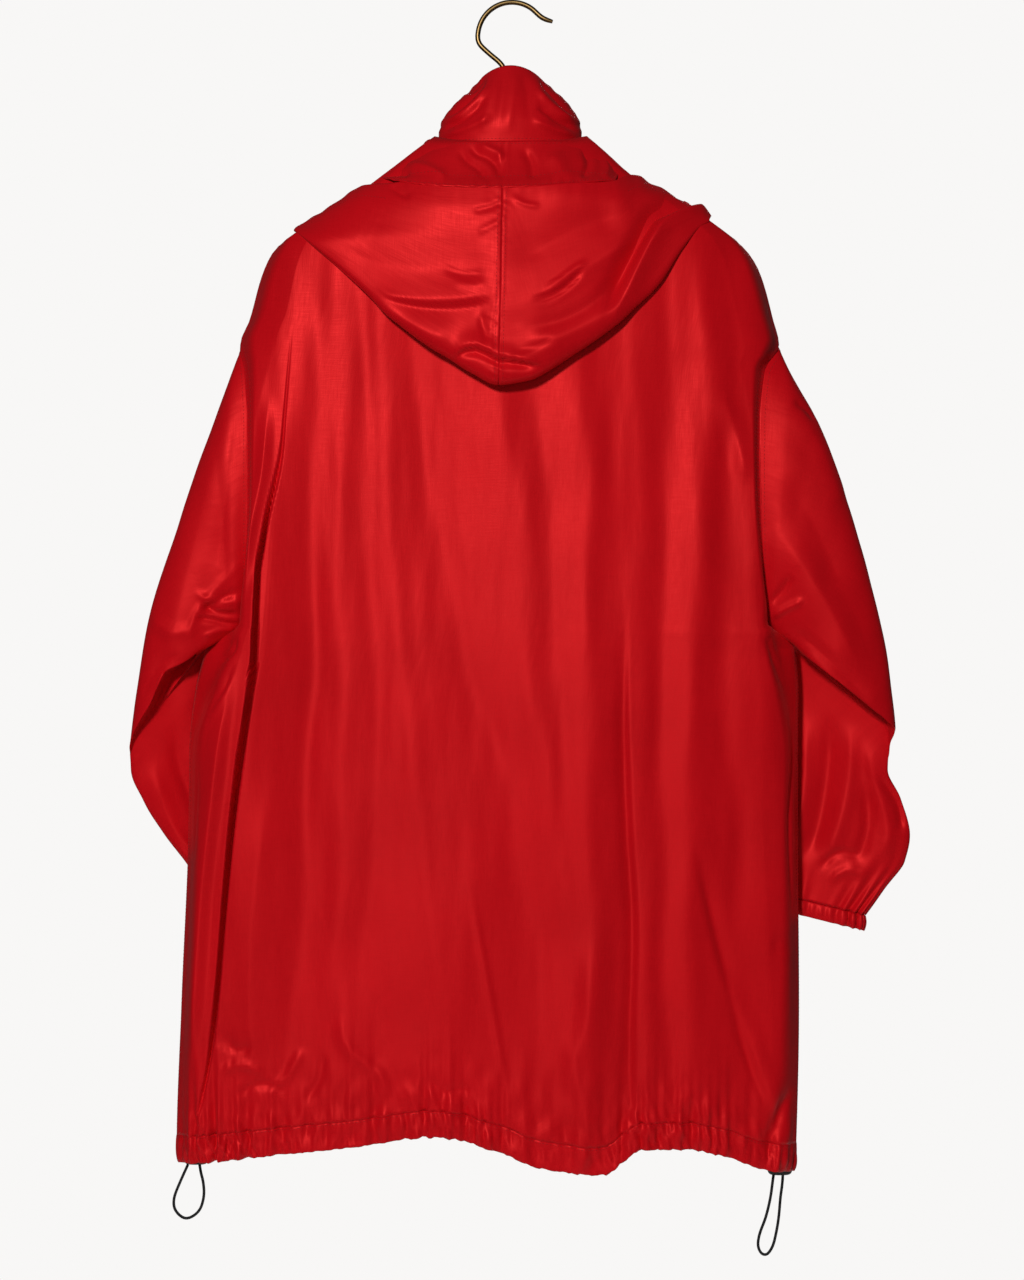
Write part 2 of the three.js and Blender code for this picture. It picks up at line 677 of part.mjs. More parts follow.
// Height of the shoulder's ridge at x.
function ridgeZ(x) {
  const edge = x < 0 ? body.left : body.right;
  let [high, low] = [neckBackZ, armholeTop];
  for (let i = 0; i < 30; i += 1) {
    const middle = (high + low) / 2;
    if (Math.abs(edge(middle)) < Math.abs(x)) high = middle;
    else low = middle;
  }
  return high;
}

const barCrown = -125.5;

function barTop(x) {
  const reach = 92;
  const shoulder = ridgeZ(Math.sign(x || 1) * Math.max(Math.abs(x), reach)) - clothWallSize - seamGap - 1.6;
  const t = clamp(Math.abs(x) / reach, 0, 1);
  return lerp(barCrown, shoulder, t * t);
}

function barGeometry() {
  return bar(steps(22).map((t) => {
    const x = lerp(barEnds[0], barEnds[1], t);
    const share = Math.min(1, 0.55 + Math.min(t, 1 - t) * 8);
    return steps(12).slice(0, 12).map((s) => {
      const angle = s * 2 * Math.PI;
      const y = Math.cos(angle) * barHalf.y * share;
      return new THREE.Vector3(x, y, barTop(x) - barHalf.z * share * (1 - Math.sin(angle)));
    });
  }));
}

function nutGeometry() {
  const hole = wire / 2 + 0.4;
  const profile = [[hole, 0], [5.5, 0], [5.5, 5], [4.4, 7], [hole, 7], [hole, 0]];
  const points = profile.map(([radius, height]) => new THREE.Vector2(radius, height));
  return new THREE.LatheGeometry(points, 16).rotateX(Math.PI / 2);
}

// ---- assembly ----
const group = new THREE.Group();

function add(name, geometry, material, at = [0, 0, 0]) {
  const finish = new THREE.MeshStandardMaterial(material);
  const mesh = new THREE.Mesh(geometry, finish);
  mesh.name = name;
  mesh.position.set(...at);
  group.add(mesh);
}

const taffeta = { color: 0xb8101a, roughness: 0.45, metalness: 0 };
const cord = { color: 0x121214, roughness: 0.8, metalness: 0 };
const blackPlastic = { color: 0x0e0e10, roughness: 0.35, metalness: 0 };
const redTape = { color: 0x9c0f18, roughness: 0.7, metalness: 0 };
const bronze = { color: 0x6a5434, roughness: 0.32, metalness: 1 };
const darkWood = { color: 0x4b3527, roughness: 0.5, metalness: 0 };

function addBody() {
  add("back_panel", wall(backGrid(bodyRows), { turn: 1, keep: keepSide(-1) }), taffeta);
  const hemWall = { thickness: casingWall, turn: 1, keep: keepSide(-1) };
  add("hem_back", wall(backGrid(hemRows), hemWall), taffeta);
  for (const [name, hand] of [["left", -1], ["right", 1]]) {
    const rows = bodyRows.slice(1);
    const front = { turn: hand, keep: keepSide(1) };
    add(`front_${name}`, wall(frontGrid(hand, rows), front), taffeta);
    const hem = { ...front, thickness: casingWall };
    add(`hem_front_${name}`, wall(frontGrid(hand, hemRows), hem), taffeta);
  }
}

function addSleeves() {
  for (const [name, hand, stations] of [["left", -1, leftSleeve], ["right", 1, rightSleeve]]) {
    const rings = sleeveRings(hand, stations);
    const end = cuffRings(rings[rings.length - 1], cuffDrop[name]);
    add(`sleeve_${name}`, wall(rings, { ring: true, turn: -hand }), taffeta);
    add(`cuff_${name}`, wall(end, { ring: true, turn: -hand, thickness: casingWall }), taffeta);
  }
}

function addHood() {
  const seam = 0.02;
  add("hood_band", wall(bandGrid(), { turn: 1 }), taffeta);
  add("hood_left", wall(hoodGrid(0, hoodSeamU - seam), { turn: 1 }), taffeta);
  add("hood_right", wall(hoodGrid(hoodSeamU + seam, 13), { turn: 1 }), taffeta);
  add("collar", wall(collarGrid(), { turn: 1 }), taffeta);
}

function addHemCord() {
  const seats = [["left", -270, -981.5, leftLoop], ["right", 229, -990.5, rightLoop]];
  for (const [name, x, z, loop] of seats) {
    const y = body.seamY(z) + stopper.depth / 2 + 1;
    add(`cord_stopper_${name}`, stopperGeometry(), blackPlastic, [x, y, z]);
    add(`cord_loop_${name}`, cordTube(loop, y), cord);
  }
}

function addZip() {
  for (const [name, hand] of [["left", -1], ["right", 1]]) {
    const tape = { thickness: zip.tapeWall, turn: hand };
    add(`zip_tape_${name}`, wall(zipTapeGrid(hand), tape), redTape);
  }
  add("zip_chain", chainGeometry(), blackPlastic);
  add("zip_slider", sliderGeometry(), blackPlastic, sliderAt.toArray());
  add("zip_pull", pullGeometry(), blackPlastic, [sliderAt.x, sliderAt.y + pinY, sliderAt.z]);
}

function addHanger() {
  add("hanger_hook", hookGeometry(), bronze);
  add("hanger_nut", nutGeometry(), bronze, [-3, 0, barCrown + 0.3]);
  add("hanger_bar", barGeometry(), darkWood);
}

addBody();
addSleeves();
addHood();
addHemCord();
addZip();
addHanger();

export default group;
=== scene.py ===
import math

import bpy
import numpy as np
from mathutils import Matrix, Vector


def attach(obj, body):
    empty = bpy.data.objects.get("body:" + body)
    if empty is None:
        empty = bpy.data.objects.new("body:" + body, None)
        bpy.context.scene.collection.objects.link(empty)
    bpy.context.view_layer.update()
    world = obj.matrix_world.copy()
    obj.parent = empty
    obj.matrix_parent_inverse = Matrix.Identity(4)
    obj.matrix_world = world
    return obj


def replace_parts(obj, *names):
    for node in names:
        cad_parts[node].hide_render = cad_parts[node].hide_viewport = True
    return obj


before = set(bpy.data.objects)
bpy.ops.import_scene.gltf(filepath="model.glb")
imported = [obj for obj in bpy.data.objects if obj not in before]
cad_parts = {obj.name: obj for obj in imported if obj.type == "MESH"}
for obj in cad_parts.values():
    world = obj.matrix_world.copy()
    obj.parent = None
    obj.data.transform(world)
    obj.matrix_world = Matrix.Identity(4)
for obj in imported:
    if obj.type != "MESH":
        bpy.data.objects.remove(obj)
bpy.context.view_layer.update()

mm = 0.001


def lerp(a, b, t):
    return a + (b - a) * t


def smooth(x, low, high):
    t = np.clip((np.asarray(x, float) - low) / (high - low), 0, 1)
    return t * t * (3 - 2 * t)


def fromHex(code):  # sRGB hex to linear
    channels = [int(code[i:i + 2], 16) / 255 for i in (0, 2, 4)]
    return [c / 12.92 if c <= 0.04045 else ((c + 0.055) / 1.055) ** 2.4 for c in channels] + [1.0]


def addObject(name, data):
    made = bpy.data.objects.new(name, data)
    bpy.context.scene.collection.objects.link(made)
    return made


def addNode(tree, kind, settings=None, values=None, links=None):
    made = tree.nodes.new(kind)
    for key, value in (settings or {}).items():
        setattr(made, key, value)
    for key, value in (values or {}).items():
        made.inputs[key].default_value = value
    for key, source in (links or {}).items():
        tree.links.new(source, made.inputs[key])
    return made


def newMaterial(name):
    material = bpy.data.materials.new(name)
    material.use_nodes = True
    tree = material.node_tree
    tree.nodes.clear()
    return material, tree


def finishMaterial(tree, shader):
    addNode(tree, "ShaderNodeOutputMaterial", links={"Surface": shader.outputs["BSDF"]})


# Camera
cameraSettings = {"distance": 2.2, "height": -0.540, "lens": 72.8}


def placeCamera():
    camera = bpy.data.cameras.new("camera")
    camera.lens = cameraSettings["lens"]
    camera.sensor_width = 36
    camera.clip_end = 50
    holder = addObject("camera", camera)
    holder.location = (0, -cameraSettings["distance"], cameraSettings["height"])
    holder.rotation_euler = (math.pi / 2, 0, 0)
    bpy.context.scene.camera = holder


placeCamera()

# Materials
taffetaLook = {
    "colour": "cc0d18", "deep": "bd0b15", "roughness": 0.44, "tint": "ff4240",
    "threadPitch": 1.1,     # real threads lie 0.25 mm apart, too fine to show: drawn 1.1 mm
    "slubLength": 14.0, "bump": 0.13, "crinkle": (17, 62), "crinkleBump": 0.55,
    "stretch": 0.4,         # the weft lies flat, so the sheen spreads up and down the warp
}


def makeTaffeta():
    # Nylon taffeta, piece-dyed and calendered: the pressed yarns give a tight, satiny gloss that
    # keeps the dye's red, broken a little by slubs in the warp and the weft.
    material, tree = newMaterial("calenderedNylonTaffeta")
    look = taffetaLook
    place = addNode(tree, "ShaderNodeTexCoord").outputs["UV"]
    pitch, slub = look["threadPitch"] * mm, look["slubLength"] * mm
    grains = []
    for across, along in ((pitch, slub), (slub, pitch)):
        stretched = addNode(tree, "ShaderNodeMapping", values={"Scale": (1 / across, 1 / along, 1)},
                            links={"Vector": place})
        grains.append(addNode(tree, "ShaderNodeTexNoise", values={"Scale": 1.0, "Detail": 1.0},
                              links={"Vector": stretched.outputs["Vector"]}).outputs["Fac"])
    weave = addNode(tree, "ShaderNodeMath", {"operation": "ADD"},
                    links={0: grains[0], 1: grains[1]})
    cloud = addNode(tree, "ShaderNodeTexNoise", values={"Scale": 9.0, "Detail": 3.0},
                    links={"Vector": place})
    shade = addNode(tree, "ShaderNodeMath", {"operation": "MULTIPLY_ADD"},
                    {1: 0.30, 2: 0.0}, {0: weave.outputs["Value"]})
    mixed = addNode(tree, "ShaderNodeMath", {"operation": "MULTIPLY_ADD"},
                    {1: 0.9}, {0: cloud.outputs["Fac"], 2: shade.outputs["Value"]})
    colour = addNode(tree, "ShaderNodeValToRGB", links={"Fac": mixed.outputs["Value"]})
    colour.color_ramp.elements[0].position = 0.45
    colour.color_ramp.elements[0].color = fromHex(look["deep"])
    colour.color_ramp.elements[1].position = 0.95
    colour.color_ramp.elements[1].color = fromHex(look["colour"])
    rough = addNode(tree, "ShaderNodeMapRange", values={
        "From Min": 0.6, "From Max": 1.4,
        "To Min": look["roughness"] - 0.05, "To Max": look["roughness"] + 0.05},
        links={"Value": weave.outputs["Value"]})
    bump = addNode(tree, "ShaderNodeBump", values={"Strength": look["bump"], "Distance": 0.3 * mm},
                   links={"Height": weave.outputs["Value"]})
    # faint handling crinkles, taller than wide
    wide, tall = look["crinkle"]
    placed = addNode(tree, "ShaderNodeMapping", links={"Vector": place},
                     values={"Scale": (1 / (wide * mm), 1 / (tall * mm), 1)})
    crinkle = addNode(tree, "ShaderNodeTexNoise", values={"Scale": 1.0, "Detail": 2.0},
                      links={"Vector": placed.outputs["Vector"]})
    bump = addNode(tree, "ShaderNodeBump",
                   values={"Strength": look["crinkleBump"], "Distance": 0.8 * mm},
                   links={"Height": crinkle.outputs["Fac"], "Normal": bump.outputs["Normal"]})
    weft = addNode(tree, "ShaderNodeTangent", {"direction_type": "UV_MAP", "uv_map": "cloth"})
    shader = addNode(tree, "ShaderNodeBsdfPrincipled", values={
        "IOR": 1.53, "Specular IOR Level": 1.0, "Specular Tint": fromHex(look["tint"]),
        "Anisotropic": look["stretch"], "Anisotropic Rotation": 0.25,
        "Sheen Weight": 0.08, "Sheen Roughness": 0.4, "Sheen Tint": fromHex("ff8080")},
        links={"Base Color": colour.outputs["Color"], "Roughness": rough.outputs["Result"],
               "Normal": bump.outputs["Normal"], "Tangent": weft.outputs["Tangent"]})
    finishMaterial(tree, shader)
    return material


def makePlain(name, colour, roughness, grain, values=None, depth=0.05, shift=0.5):
    # Shared layout: fine noise of a real grain size moves the colour, the roughness and the bump.
    material, tree = newMaterial(name)
    place = addNode(tree, "ShaderNodeTexCoord").outputs["Object"]
    noise = addNode(tree, "ShaderNodeTexNoise", values={"Scale": 1 / (grain * mm), "Detail": 4.0},
                    links={"Vector": place})
    ramp = addNode(tree, "ShaderNodeValToRGB", links={"Fac": noise.outputs["Fac"]})
    ramp.color_ramp.elements[0].color = [c * shift for c in fromHex(colour)[:3]] + [1]
    ramp.color_ramp.elements[1].color = fromHex(colour)
    rough = addNode(tree, "ShaderNodeMapRange", links={"Value": noise.outputs["Fac"]},
                    values={"To Min": roughness - 0.06, "To Max": roughness + 0.08})
    bump = addNode(tree, "ShaderNodeBump", values={"Strength": 0.3, "Distance": depth * mm},
                   links={"Height": noise.outputs["Fac"]})
    shader = addNode(tree, "ShaderNodeBsdfPrincipled", values=values or {}, links={
        "Base Color": ramp.outputs["Color"], "Roughness": rough.outputs["Result"],
        "Normal": bump.outputs["Normal"]})
    finishMaterial(tree, shader)
    return material


def makeBraid():
    # Braided elastic cord: polyester yarns over a rubber core, so it is matt with a fine twill.
    material, tree = newMaterial("braidedElasticCord")
    place = addNode(tree, "ShaderNodeTexCoord").outputs["Object"]
    waves = []
    for turn in (0.8, -0.8):  # two sets of yarns, 0.8 mm wide
        tilted = addNode(tree, "ShaderNodeMapping", values={"Rotation": (0, turn, 0)},
                         links={"Vector": place})
        waves.append(addNode(tree, "ShaderNodeTexWave", {"bands_direction": "X"},
                             {"Scale": 1 / (5 * mm)}, {"Vector": tilted.outputs["Vector"]}))
    height = addNode(tree, "ShaderNodeMath", {"operation": "MAXIMUM"},
                     links={0: waves[0].outputs["Fac"], 1: waves[1].outputs["Fac"]})
    # painted shade: the colour follows the yarns' height, darkest in the grooves between the yarns
    # and lighter on their crests
    ramp = addNode(tree, "ShaderNodeValToRGB", links={"Fac": height.outputs["Value"]})
    ramp.color_ramp.elements[0].color = fromHex("030303")
    ramp.color_ramp.elements[1].color = fromHex("121214")
    bump = addNode(tree, "ShaderNodeBump", values={"Strength": 0.6, "Distance": 0.25 * mm},
                   links={"Height": height.outputs["Value"]})
    shader = addNode(tree, "ShaderNodeBsdfPrincipled", values={"IOR": 1.5, "Roughness": 0.85},
                     links={"Base Color": ramp.outputs["Color"], "Normal": bump.outputs["Normal"]})
    finishMaterial(tree, shader)
    return material


def makeWood():
    # Beech, stained dark and lacquered: long grain along the bar under a soft gloss.
    material, tree = newMaterial("stainedBeech")
    place = addNode(tree, "ShaderNodeTexCoord").outputs["Object"]
    stretched = addNode(tree, "ShaderNodeMapping", values={"Scale": (12, 260, 260)},
                        links={"Vector": place})
    grain = addNode(tree, "ShaderNodeTexNoise", values={"Scale": 1.0, "Detail": 5.0},
                    links={"Vector": stretched.outputs["Vector"]})
    ramp = addNode(tree, "ShaderNodeValToRGB", links={"Fac": grain.outputs["Fac"]})
    ramp.color_ramp.elements[0].color = fromHex("2e2018")
    ramp.color_ramp.elements[1].color = fromHex("5b4030")
    bump = addNode(tree, "ShaderNodeBump", values={"Strength": 0.2, "Distance": 0.1 * mm},
                   links={"Height": grain.outputs["Fac"]})
    shader = addNode(tree, "ShaderNodeBsdfPrincipled", values={
        "IOR": 1.5, "Roughness": 0.42, "Coat Weight": 0.3, "Coat Roughness": 0.25},
        links={"Base Color": ramp.outputs["Color"], "Normal": bump.outputs["Normal"]})
    finishMaterial(tree, shader)
    return material


taffeta = makeTaffeta()
sewingThread = makePlain("spunPolyesterThread", "a00b14", 0.7, 0.4, {"IOR": 1.5}, shift=0.8)
zipTape = makePlain("wovenPolyesterTape", "8c0d15", 0.72, 0.6, {"IOR": 1.5}, shift=0.75)
# Moulded acetal: fine tool texture, low even gloss.
acetal = makePlain("mouldedAcetal", "101012", 0.36, 1.2, {"IOR": 1.48}, shift=0.7)
# Iron wire plated with brass and darkened: brown in the hollows, rubbed brighter in patches.
agedBrass = makePlain("agedBrassPlate", "8d7248", 0.34, 3.0, {"Metallic": 1.0},
                      depth=0.08, shift=0.45)
braid = makeBraid()
wood = makeWood()
print("materials ready")

# Hem cord loops
cordLook = {"size": 2.4, "points": 32, "plane": 12.5}
leftLoop = [
    [-277, -988.4], [-280, -995], [-284, -1004], [-289, -1018], [-288, -1027], [-279, -1034.5],
    [-268, -1028.5], [-263.5, -1016], [-264, -1003], [-266, -995], [-267, -988.4],
]
rightLoop = [
    [223.5, -997.4], [222.5, -1005], [221, -1016], [217, -1033], [211, -1050], [210.5, -1060],
    [216, -1066.5], [222, -1060], [226, -1045.5], [228, -1033], [229.5, -1016], [231, -1005],
    [231.5, -997.4],
]


def throughPoints(points, count):  # centripetal Catmull-Rom line, even steps
    points = np.array(points, float)
    padded = np.vstack([2 * points[0] - points[1], points, 2 * points[-1] - points[-2]])
    knots = np.concatenate([[0], np.cumsum(np.linalg.norm(np.diff(padded, axis=0), axis=1) ** 0.5)])
    fine = []
    for i in range(1, len(padded) - 2):
        t0, t1, t2, t3 = knots[i - 1:i + 3]
        t = np.linspace(t1, t2, 24, endpoint=i == len(padded) - 3)[:, None]
        p0, p1, p2, p3 = padded[i - 1:i + 3]
        a1 = (t1 - t) / (t1 - t0) * p0 + (t - t0) / (t1 - t0) * p1
        a2 = (t2 - t) / (t2 - t1) * p1 + (t - t1) / (t2 - t1) * p2
        a3 = (t3 - t) / (t3 - t2) * p2 + (t - t2) / (t3 - t2) * p3
        b1 = (t2 - t) / (t2 - t0) * a1 + (t - t0) / (t2 - t0) * a2
        b2 = (t3 - t) / (t3 - t1) * a2 + (t - t1) / (t3 - t1) * a3
        fine.append((t2 - t) / (t2 - t1) * b1 + (t - t1) / (t2 - t1) * b2)
    fine = np.vstack(fine)
    run = np.concatenate([[0], np.cumsum(np.linalg.norm(np.diff(fine, axis=0), axis=1))])
    even = np.linspace(0, run[-1], count)
    spread = [np.interp(even, run, fine[:, k]) for k in range(fine.shape[1])]
    return np.stack(spread, axis=1), run[-1]


def addTube(name, line, size, roundness, steps, material):
    data = bpy.data.curves.new(name, "CURVE")
    data.dimensions = "3D"
    data.bevel_depth = size / 2 * mm
    data.bevel_resolution = roundness
    data.resolution_u = steps
    spline = data.splines.new("NURBS")
    spline.points.add(len(line) - 1)
    for point, spot in zip(spline.points, line * mm):
        point.co = (*spot, 1)
    spline.order_u = 4
    spline.use_endpoint_u = True
    data.materials.append(material)
    return addObject(name, data), data


def makeLoop(name, loop, node):
    line, length = throughPoints([[x, cordLook["plane"], z] for x, z in loop], cordLook["points"])
    piece, _ = addTube(name, line, cordLook["size"], 5, 4, braid)
    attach(piece, "parka")
    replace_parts(piece, node)


makeLoop("hemCordLoopLeft", leftLoop, "cord_loop_left")
makeLoop("hemCordLoopRight", rightLoop, "cord_loop_right")
print("cord loops ready")

# Curves, waves and creases
def table(names, rows):
    return dict(zip(names.split(), np.array(rows, float).T))


def monotone(at, value):  # smooth line through values, with no overshoot between them
    at, value = np.asarray(at, float), np.asarray(value, float)
    sign = 1 if at[1] > at[0] else -1
    at = at * sign
    more = (slice(None),) + (None,) * (value.ndim - 1)
    span = np.diff(at)
    chord = np.diff(value, axis=0) / span[more]
    before = np.concatenate([chord[:1], chord])
    after = np.concatenate([chord, chord[-1:]])
    flat = before * after <= 0
    slope = np.where(flat, 0, 2 * before * after / np.where(flat, 1, before + after))

    def atX(x):
        x = np.asarray(x, float) * sign
        i = np.clip(np.searchsorted(at, x, side="right") - 1, 0, len(at) - 2)
        t = np.clip((x - at[i]) / span[i], 0, 1)
        if value.ndim > 1:
            t = t[more]
        bend = t * t * (3 - 2 * t)
        ease = t * (1 - t) * (span[i][more] if value.ndim > 1 else span[i])
        return lerp(value[i], value[i + 1], bend) + ease * (slope[i] * (1 - t) - slope[i + 1] * t)
    return atX


def curve(columns, key, name):
    return monotone(columns[key], columns[name])


def curves(columns, key):
    return {name: curve(columns, key, name) for name in columns if name != key}


def ripple(seed, s, pitch, count=6):  # uneven wave of about this pitch, -1 to 1
    rng = np.random.default_rng(seed)
    total = 0
    for _ in range(count):
        length = pitch * rng.uniform(0.7, 1.7)
        total = total + rng.uniform(0.5, 1) * np.sin(2 * np.pi * (s / length + rng.uniform()))
    return total / count ** 0.5 / 0.9


def waver(seed, x, z, wide, tall, count=12):  # soft uneven swelling, wide by tall
    rng = np.random.default_rng(seed)
    total = 0
    for _ in range(count):
        turn = rng.uniform(0, 2 * np.pi)
        grow = rng.uniform(0.6, 1.5)
        slant = np.cos(turn) * x / wide + np.sin(turn) * z / tall
        total = total + np.sin(2 * np.pi * grow * slant + rng.uniform(0, 2 * np.pi))
    return total / count ** 0.5


def creaseHeight(creases, x, z):
    # Each crease: height (minus is a trough), width to its left and to its right, how sharp its
    # crest is (0...1), and the points it runs through.
    total = np.zeros(np.broadcast(x, z).shape)
    for height, left, right, sharp, points in creases:
        count = 4 * (len(points) - 1) + 1
        if len(points) > 2:
            line = throughPoints(points, count)[0]
        else:
            line = np.linspace(*np.array(points, float), 5)
        best = np.full(total.shape, 1e9)
        side = np.zeros(total.shape)
        share = np.zeros(total.shape)
        for i in range(len(line) - 1):
            a, b = line[i], line[i + 1]
            run = b - a
            t = np.clip(((x - a[0]) * run[0] + (z - a[1]) * run[1]) / (run @ run), 0, 1)
            dx, dz = x - a[0] - t * run[0], z - a[1] - t * run[1]
            away = np.hypot(dx, dz)
            nearer = away < best
            best = np.where(nearer, away, best)
            side = np.where(nearer, run[0] * dz - run[1] * dx, side)
            share = np.where(nearer, (i + t) / (len(line) - 1), share)
        # side is above 0 to the right of a line that runs down
        far = best / np.where(side > 0, right, left)
        soft = np.exp(-far * far)
        crest = np.sqrt(far * far + 0.006) - 0.006 ** 0.5
        ridge = np.logaddexp(0, 6 * (1 - crest)) / np.logaddexp(0, 6)
        ends = smooth(share, 0, 0.3) * smooth(1 - share, 0, 0.22)
        total += height * lerp(soft, ridge, sharp) * ends
    return total


def foldHeight(folds, x, z):
    # Long folds hang as flat facets between crests and troughs. Each fold is a line of
    # (x, z, height); the folds are in order from left to right.
    lines = [monotone([point[1] for point in fold], [[point[0], point[2]] for point in fold])
             for fold in folds]
    places = np.stack([line(z[:, 0]) for line in lines], axis=1)
    total = np.zeros(x.shape)
    for row, at in enumerate(places):
        for shift, weight in ((-6, 0.13), (-3, 0.22), (0, 0.3), (3, 0.22), (6, 0.13)):
            total[row] += weight * np.interp(x[row] + shift, at[:, 0], at[:, 1])
    return total


# Meshes from grids of points
def gridNormals(grid, ring, turn):
    across = (np.roll(grid, -1, 1) - np.roll(grid, 1, 1)) if ring else np.gradient(grid, axis=1)
    normals = np.cross(np.gradient(grid, axis=0), across) * turn
    length = np.linalg.norm(normals, axis=2, keepdims=True)
    return normals / np.where(length < 1e-9, 1, length)


def addMesh(name, vertices, faces, material, smoothed=True):
    mesh = bpy.data.meshes.new(name)
    mesh.from_pydata(vertices.tolist(), [], faces if isinstance(faces, list) else faces.tolist())
    mesh.materials.append(material)
    if smoothed:
        mesh.polygons.foreach_set("use_smooth", [True] * len(mesh.polygons))
    mesh.update()
    return addObject(name, mesh)


def clothPiece(name, grid, ring=False, turn=1, wall=0.6, material=taffeta,
               closed=False, crossCut=False):
    # The grid is the cloth's outer face. closed joins its last row to its first, as a casing does.
    # crossCut pieces are cut with their warp lying across.
    rows, columns = grid.shape[:2]
    index = np.arange(rows * columns).reshape(rows, columns)
    if closed:
        index = np.vstack([index, index[:1]])
    if ring:
        index = np.hstack([index, index[:, :1]])
    a, b, c, d = index[:-1, :-1], index[:-1, 1:], index[1:, 1:], index[1:, :-1]
    order = (a, d, c, b) if turn > 0 else (a, b, c, d)
    faces = np.stack(order, axis=-1).reshape(-1, 4)
    piece = addMesh(name, grid.reshape(-1, 3) * mm, faces, material)
    # warp and weft run in metres of cloth
    full = grid[:, np.append(np.arange(columns), 0)] if ring else grid
    full = np.concatenate([full, full[:1]]) if closed else full
    u = np.zeros(full.shape[:2])
    v = np.zeros(full.shape[:2])
    u[:, 1:] = np.cumsum(np.linalg.norm(np.diff(full, axis=1), axis=2), axis=1)
    v[1:] = np.cumsum(np.linalg.norm(np.diff(full, axis=0), axis=2), axis=0)
    widest, longest = u[:, -1].max(), v[-1].max()
    u -= u[:, u.shape[1] // 2][:, None]
    v = np.repeat(np.mean(v, axis=1)[:, None], v.shape[1], axis=1)
    uv = np.stack([v, u] if crossCut else [u, v], axis=-1) * mm
    corners = (uv[:-1, :-1], uv[:-1, 1:], uv[1:, 1:], uv[1:, :-1])
    corners = tuple(corners[i] for i in ((0, 3, 2, 1) if turn > 0 else (0, 1, 2, 3)))
    layer = piece.data.uv_layers.new(name="cloth")
    layer.data.foreach_set("uv", np.stack(corners, axis=2).reshape(-1))
    if wall:
        shell = piece.modifiers.new("clothWall", "SOLIDIFY")
        shell.thickness = wall * mm
        shell.offset = -1
        shell.use_even_offset = False
    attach(piece, "parka")
    area = np.linalg.norm(np.cross(full[1:, :-1] - full[:-1, 1:], full[1:, 1:] - full[:-1, :-1]),
                          axis=2).sum() / 2 * mm * mm
    print(f"{name}: {len(faces)} faces, {area:.4f} square metres, "
          f"widest row {widest:.0f} mm, longest column {longest:.0f} mm")
    return piece


# Stitches
stitching = {"pitch": 3.2, "length": 2.4, "radius": 0.22, "lift": 0.06}
stitchShapes = []


def onGrid(grid, row, column):
    rows, columns = grid.shape[:2]
    row, column = np.clip(row, 0, rows - 1.001), np.clip(column, 0, columns - 1.001)
    i, j = row.astype(int), column.astype(int)
    s, t = (row - i)[:, None], (column - j)[:, None]
    return lerp(lerp(grid[i, j], grid[i, j + 1], t), lerp(grid[i + 1, j], grid[i + 1, j + 1], t), s)


def stitchLine(grid, normals, row, column):
    # A run of lockstitch along places on a grid, laid on the face; drawn later as one piece.
    row, column = np.broadcast_arrays(np.asarray(row, float), np.asarray(column, float))
    line, out = onGrid(grid, row, column), onGrid(normals, row, column)
    run = np.concatenate([[0], np.cumsum(np.linalg.norm(np.diff(line, axis=0), axis=1))])
    starts = np.arange(0.6, run[-1] - stitching["length"], stitching["pitch"])
    size = stitching["length"]

    def at(s, values):
        return np.stack([np.interp(s, run, values[:, k]) for k in range(3)], axis=1)
    head, tail = at(starts, line), at(starts + size, line)
    middle, up = at(starts + size / 2, line), at(starts + size / 2, out)
    up /= np.linalg.norm(up, axis=1, keepdims=True)
    along = tail - head
    across = np.cross(along, up)
    across /= np.maximum(np.linalg.norm(across, axis=1, keepdims=True), 1e-9)
    radius, lift = stitching["radius"], stitching["lift"]
    middle = middle + up * lift
    sides = [middle + across * radius, middle + up * radius,
             middle - across * radius, middle - up * radius]
    stitchShapes.append(np.stack([head, tail] + sides, axis=1))


def drawStitches():
    shapes = np.concatenate(stitchShapes)
    faces = []
    for i, j in ((2, 3), (3, 4), (4, 5), (5, 2)):
        faces += [(0, i, j), (1, j, i)]
    faces = np.array(faces)[None] + 6 * np.arange(len(shapes))[:, None, None]
    piece = addMesh("seamStitches", shapes.reshape(-1, 3) * mm, faces.reshape(-1, 3), sewingThread)
    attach(piece, "parka")
    print(f"{len(shapes)} stitches")


# The body's form
bodySections = table("z left right back front seamY spare", [
    [-122, -66, 63, 36, 34, 0, 0],
    [-138, -90, 84, 40, 37, 0, 0],
    [-153, -111, 103, 42, 39, 0, 0],
    [-172, -140, 141, 44, 40, 0, 0],
    [-190, -170, 171, 45, 40, 0, 0],
    [-208, -201, 198, 46, 40, 0, 0],
    [-229, -212, 211, 46, 40, 0, 0],
    [-268, -223, 222, 46, 39, 0, 1],
    [-289, -231, 227, 46, 38, 0, 3],
    [-312, -226, 213, 46, 37, 0, 12],
    [-361, -223, 208, 46, 36, 0, 25],
    [-421, -223, 209, 46, 36, 0, 28],
    [-489, -225, 212, 46, 35, 0, 28],
    [-530, -227, 213, 46, 34, 0, 28],
    [-530.8, -232, 219, 46, 34, 0.05, 24],
    [-532, -241, 228, 46, 34, 0.15, 15],
    [-535, -250, 236, 46, 34, 0.35, 7],
    [-541, -257, 240, 46, 34, 0.8, 2],
    [-556, -263, 242, 45.9, 33.4, 2, 0],
    [-585, -270, 244, 45.5, 33, 4.8, 0],
    [-630, -275, 244, 44.7, 33, 8, 0],
    [-701, -276, 244, 43, 33, 9, 0],
    [-846, -282, 245, 39, 31, 9, 0],
    [-965, -286, 242, 34, 28, 7, 0],
    [-1000, -281, 240, 32, 26, 7, 0],
])
backHem = table("x z", [
    [-286, -984], [-259, -980], [-180, -970], [-121, -963], [-65, -956], [-10, -969], [24, -982],
    [75, -988], [109, -967], [143, -967], [177, -973], [211, -986], [245, -992],
])
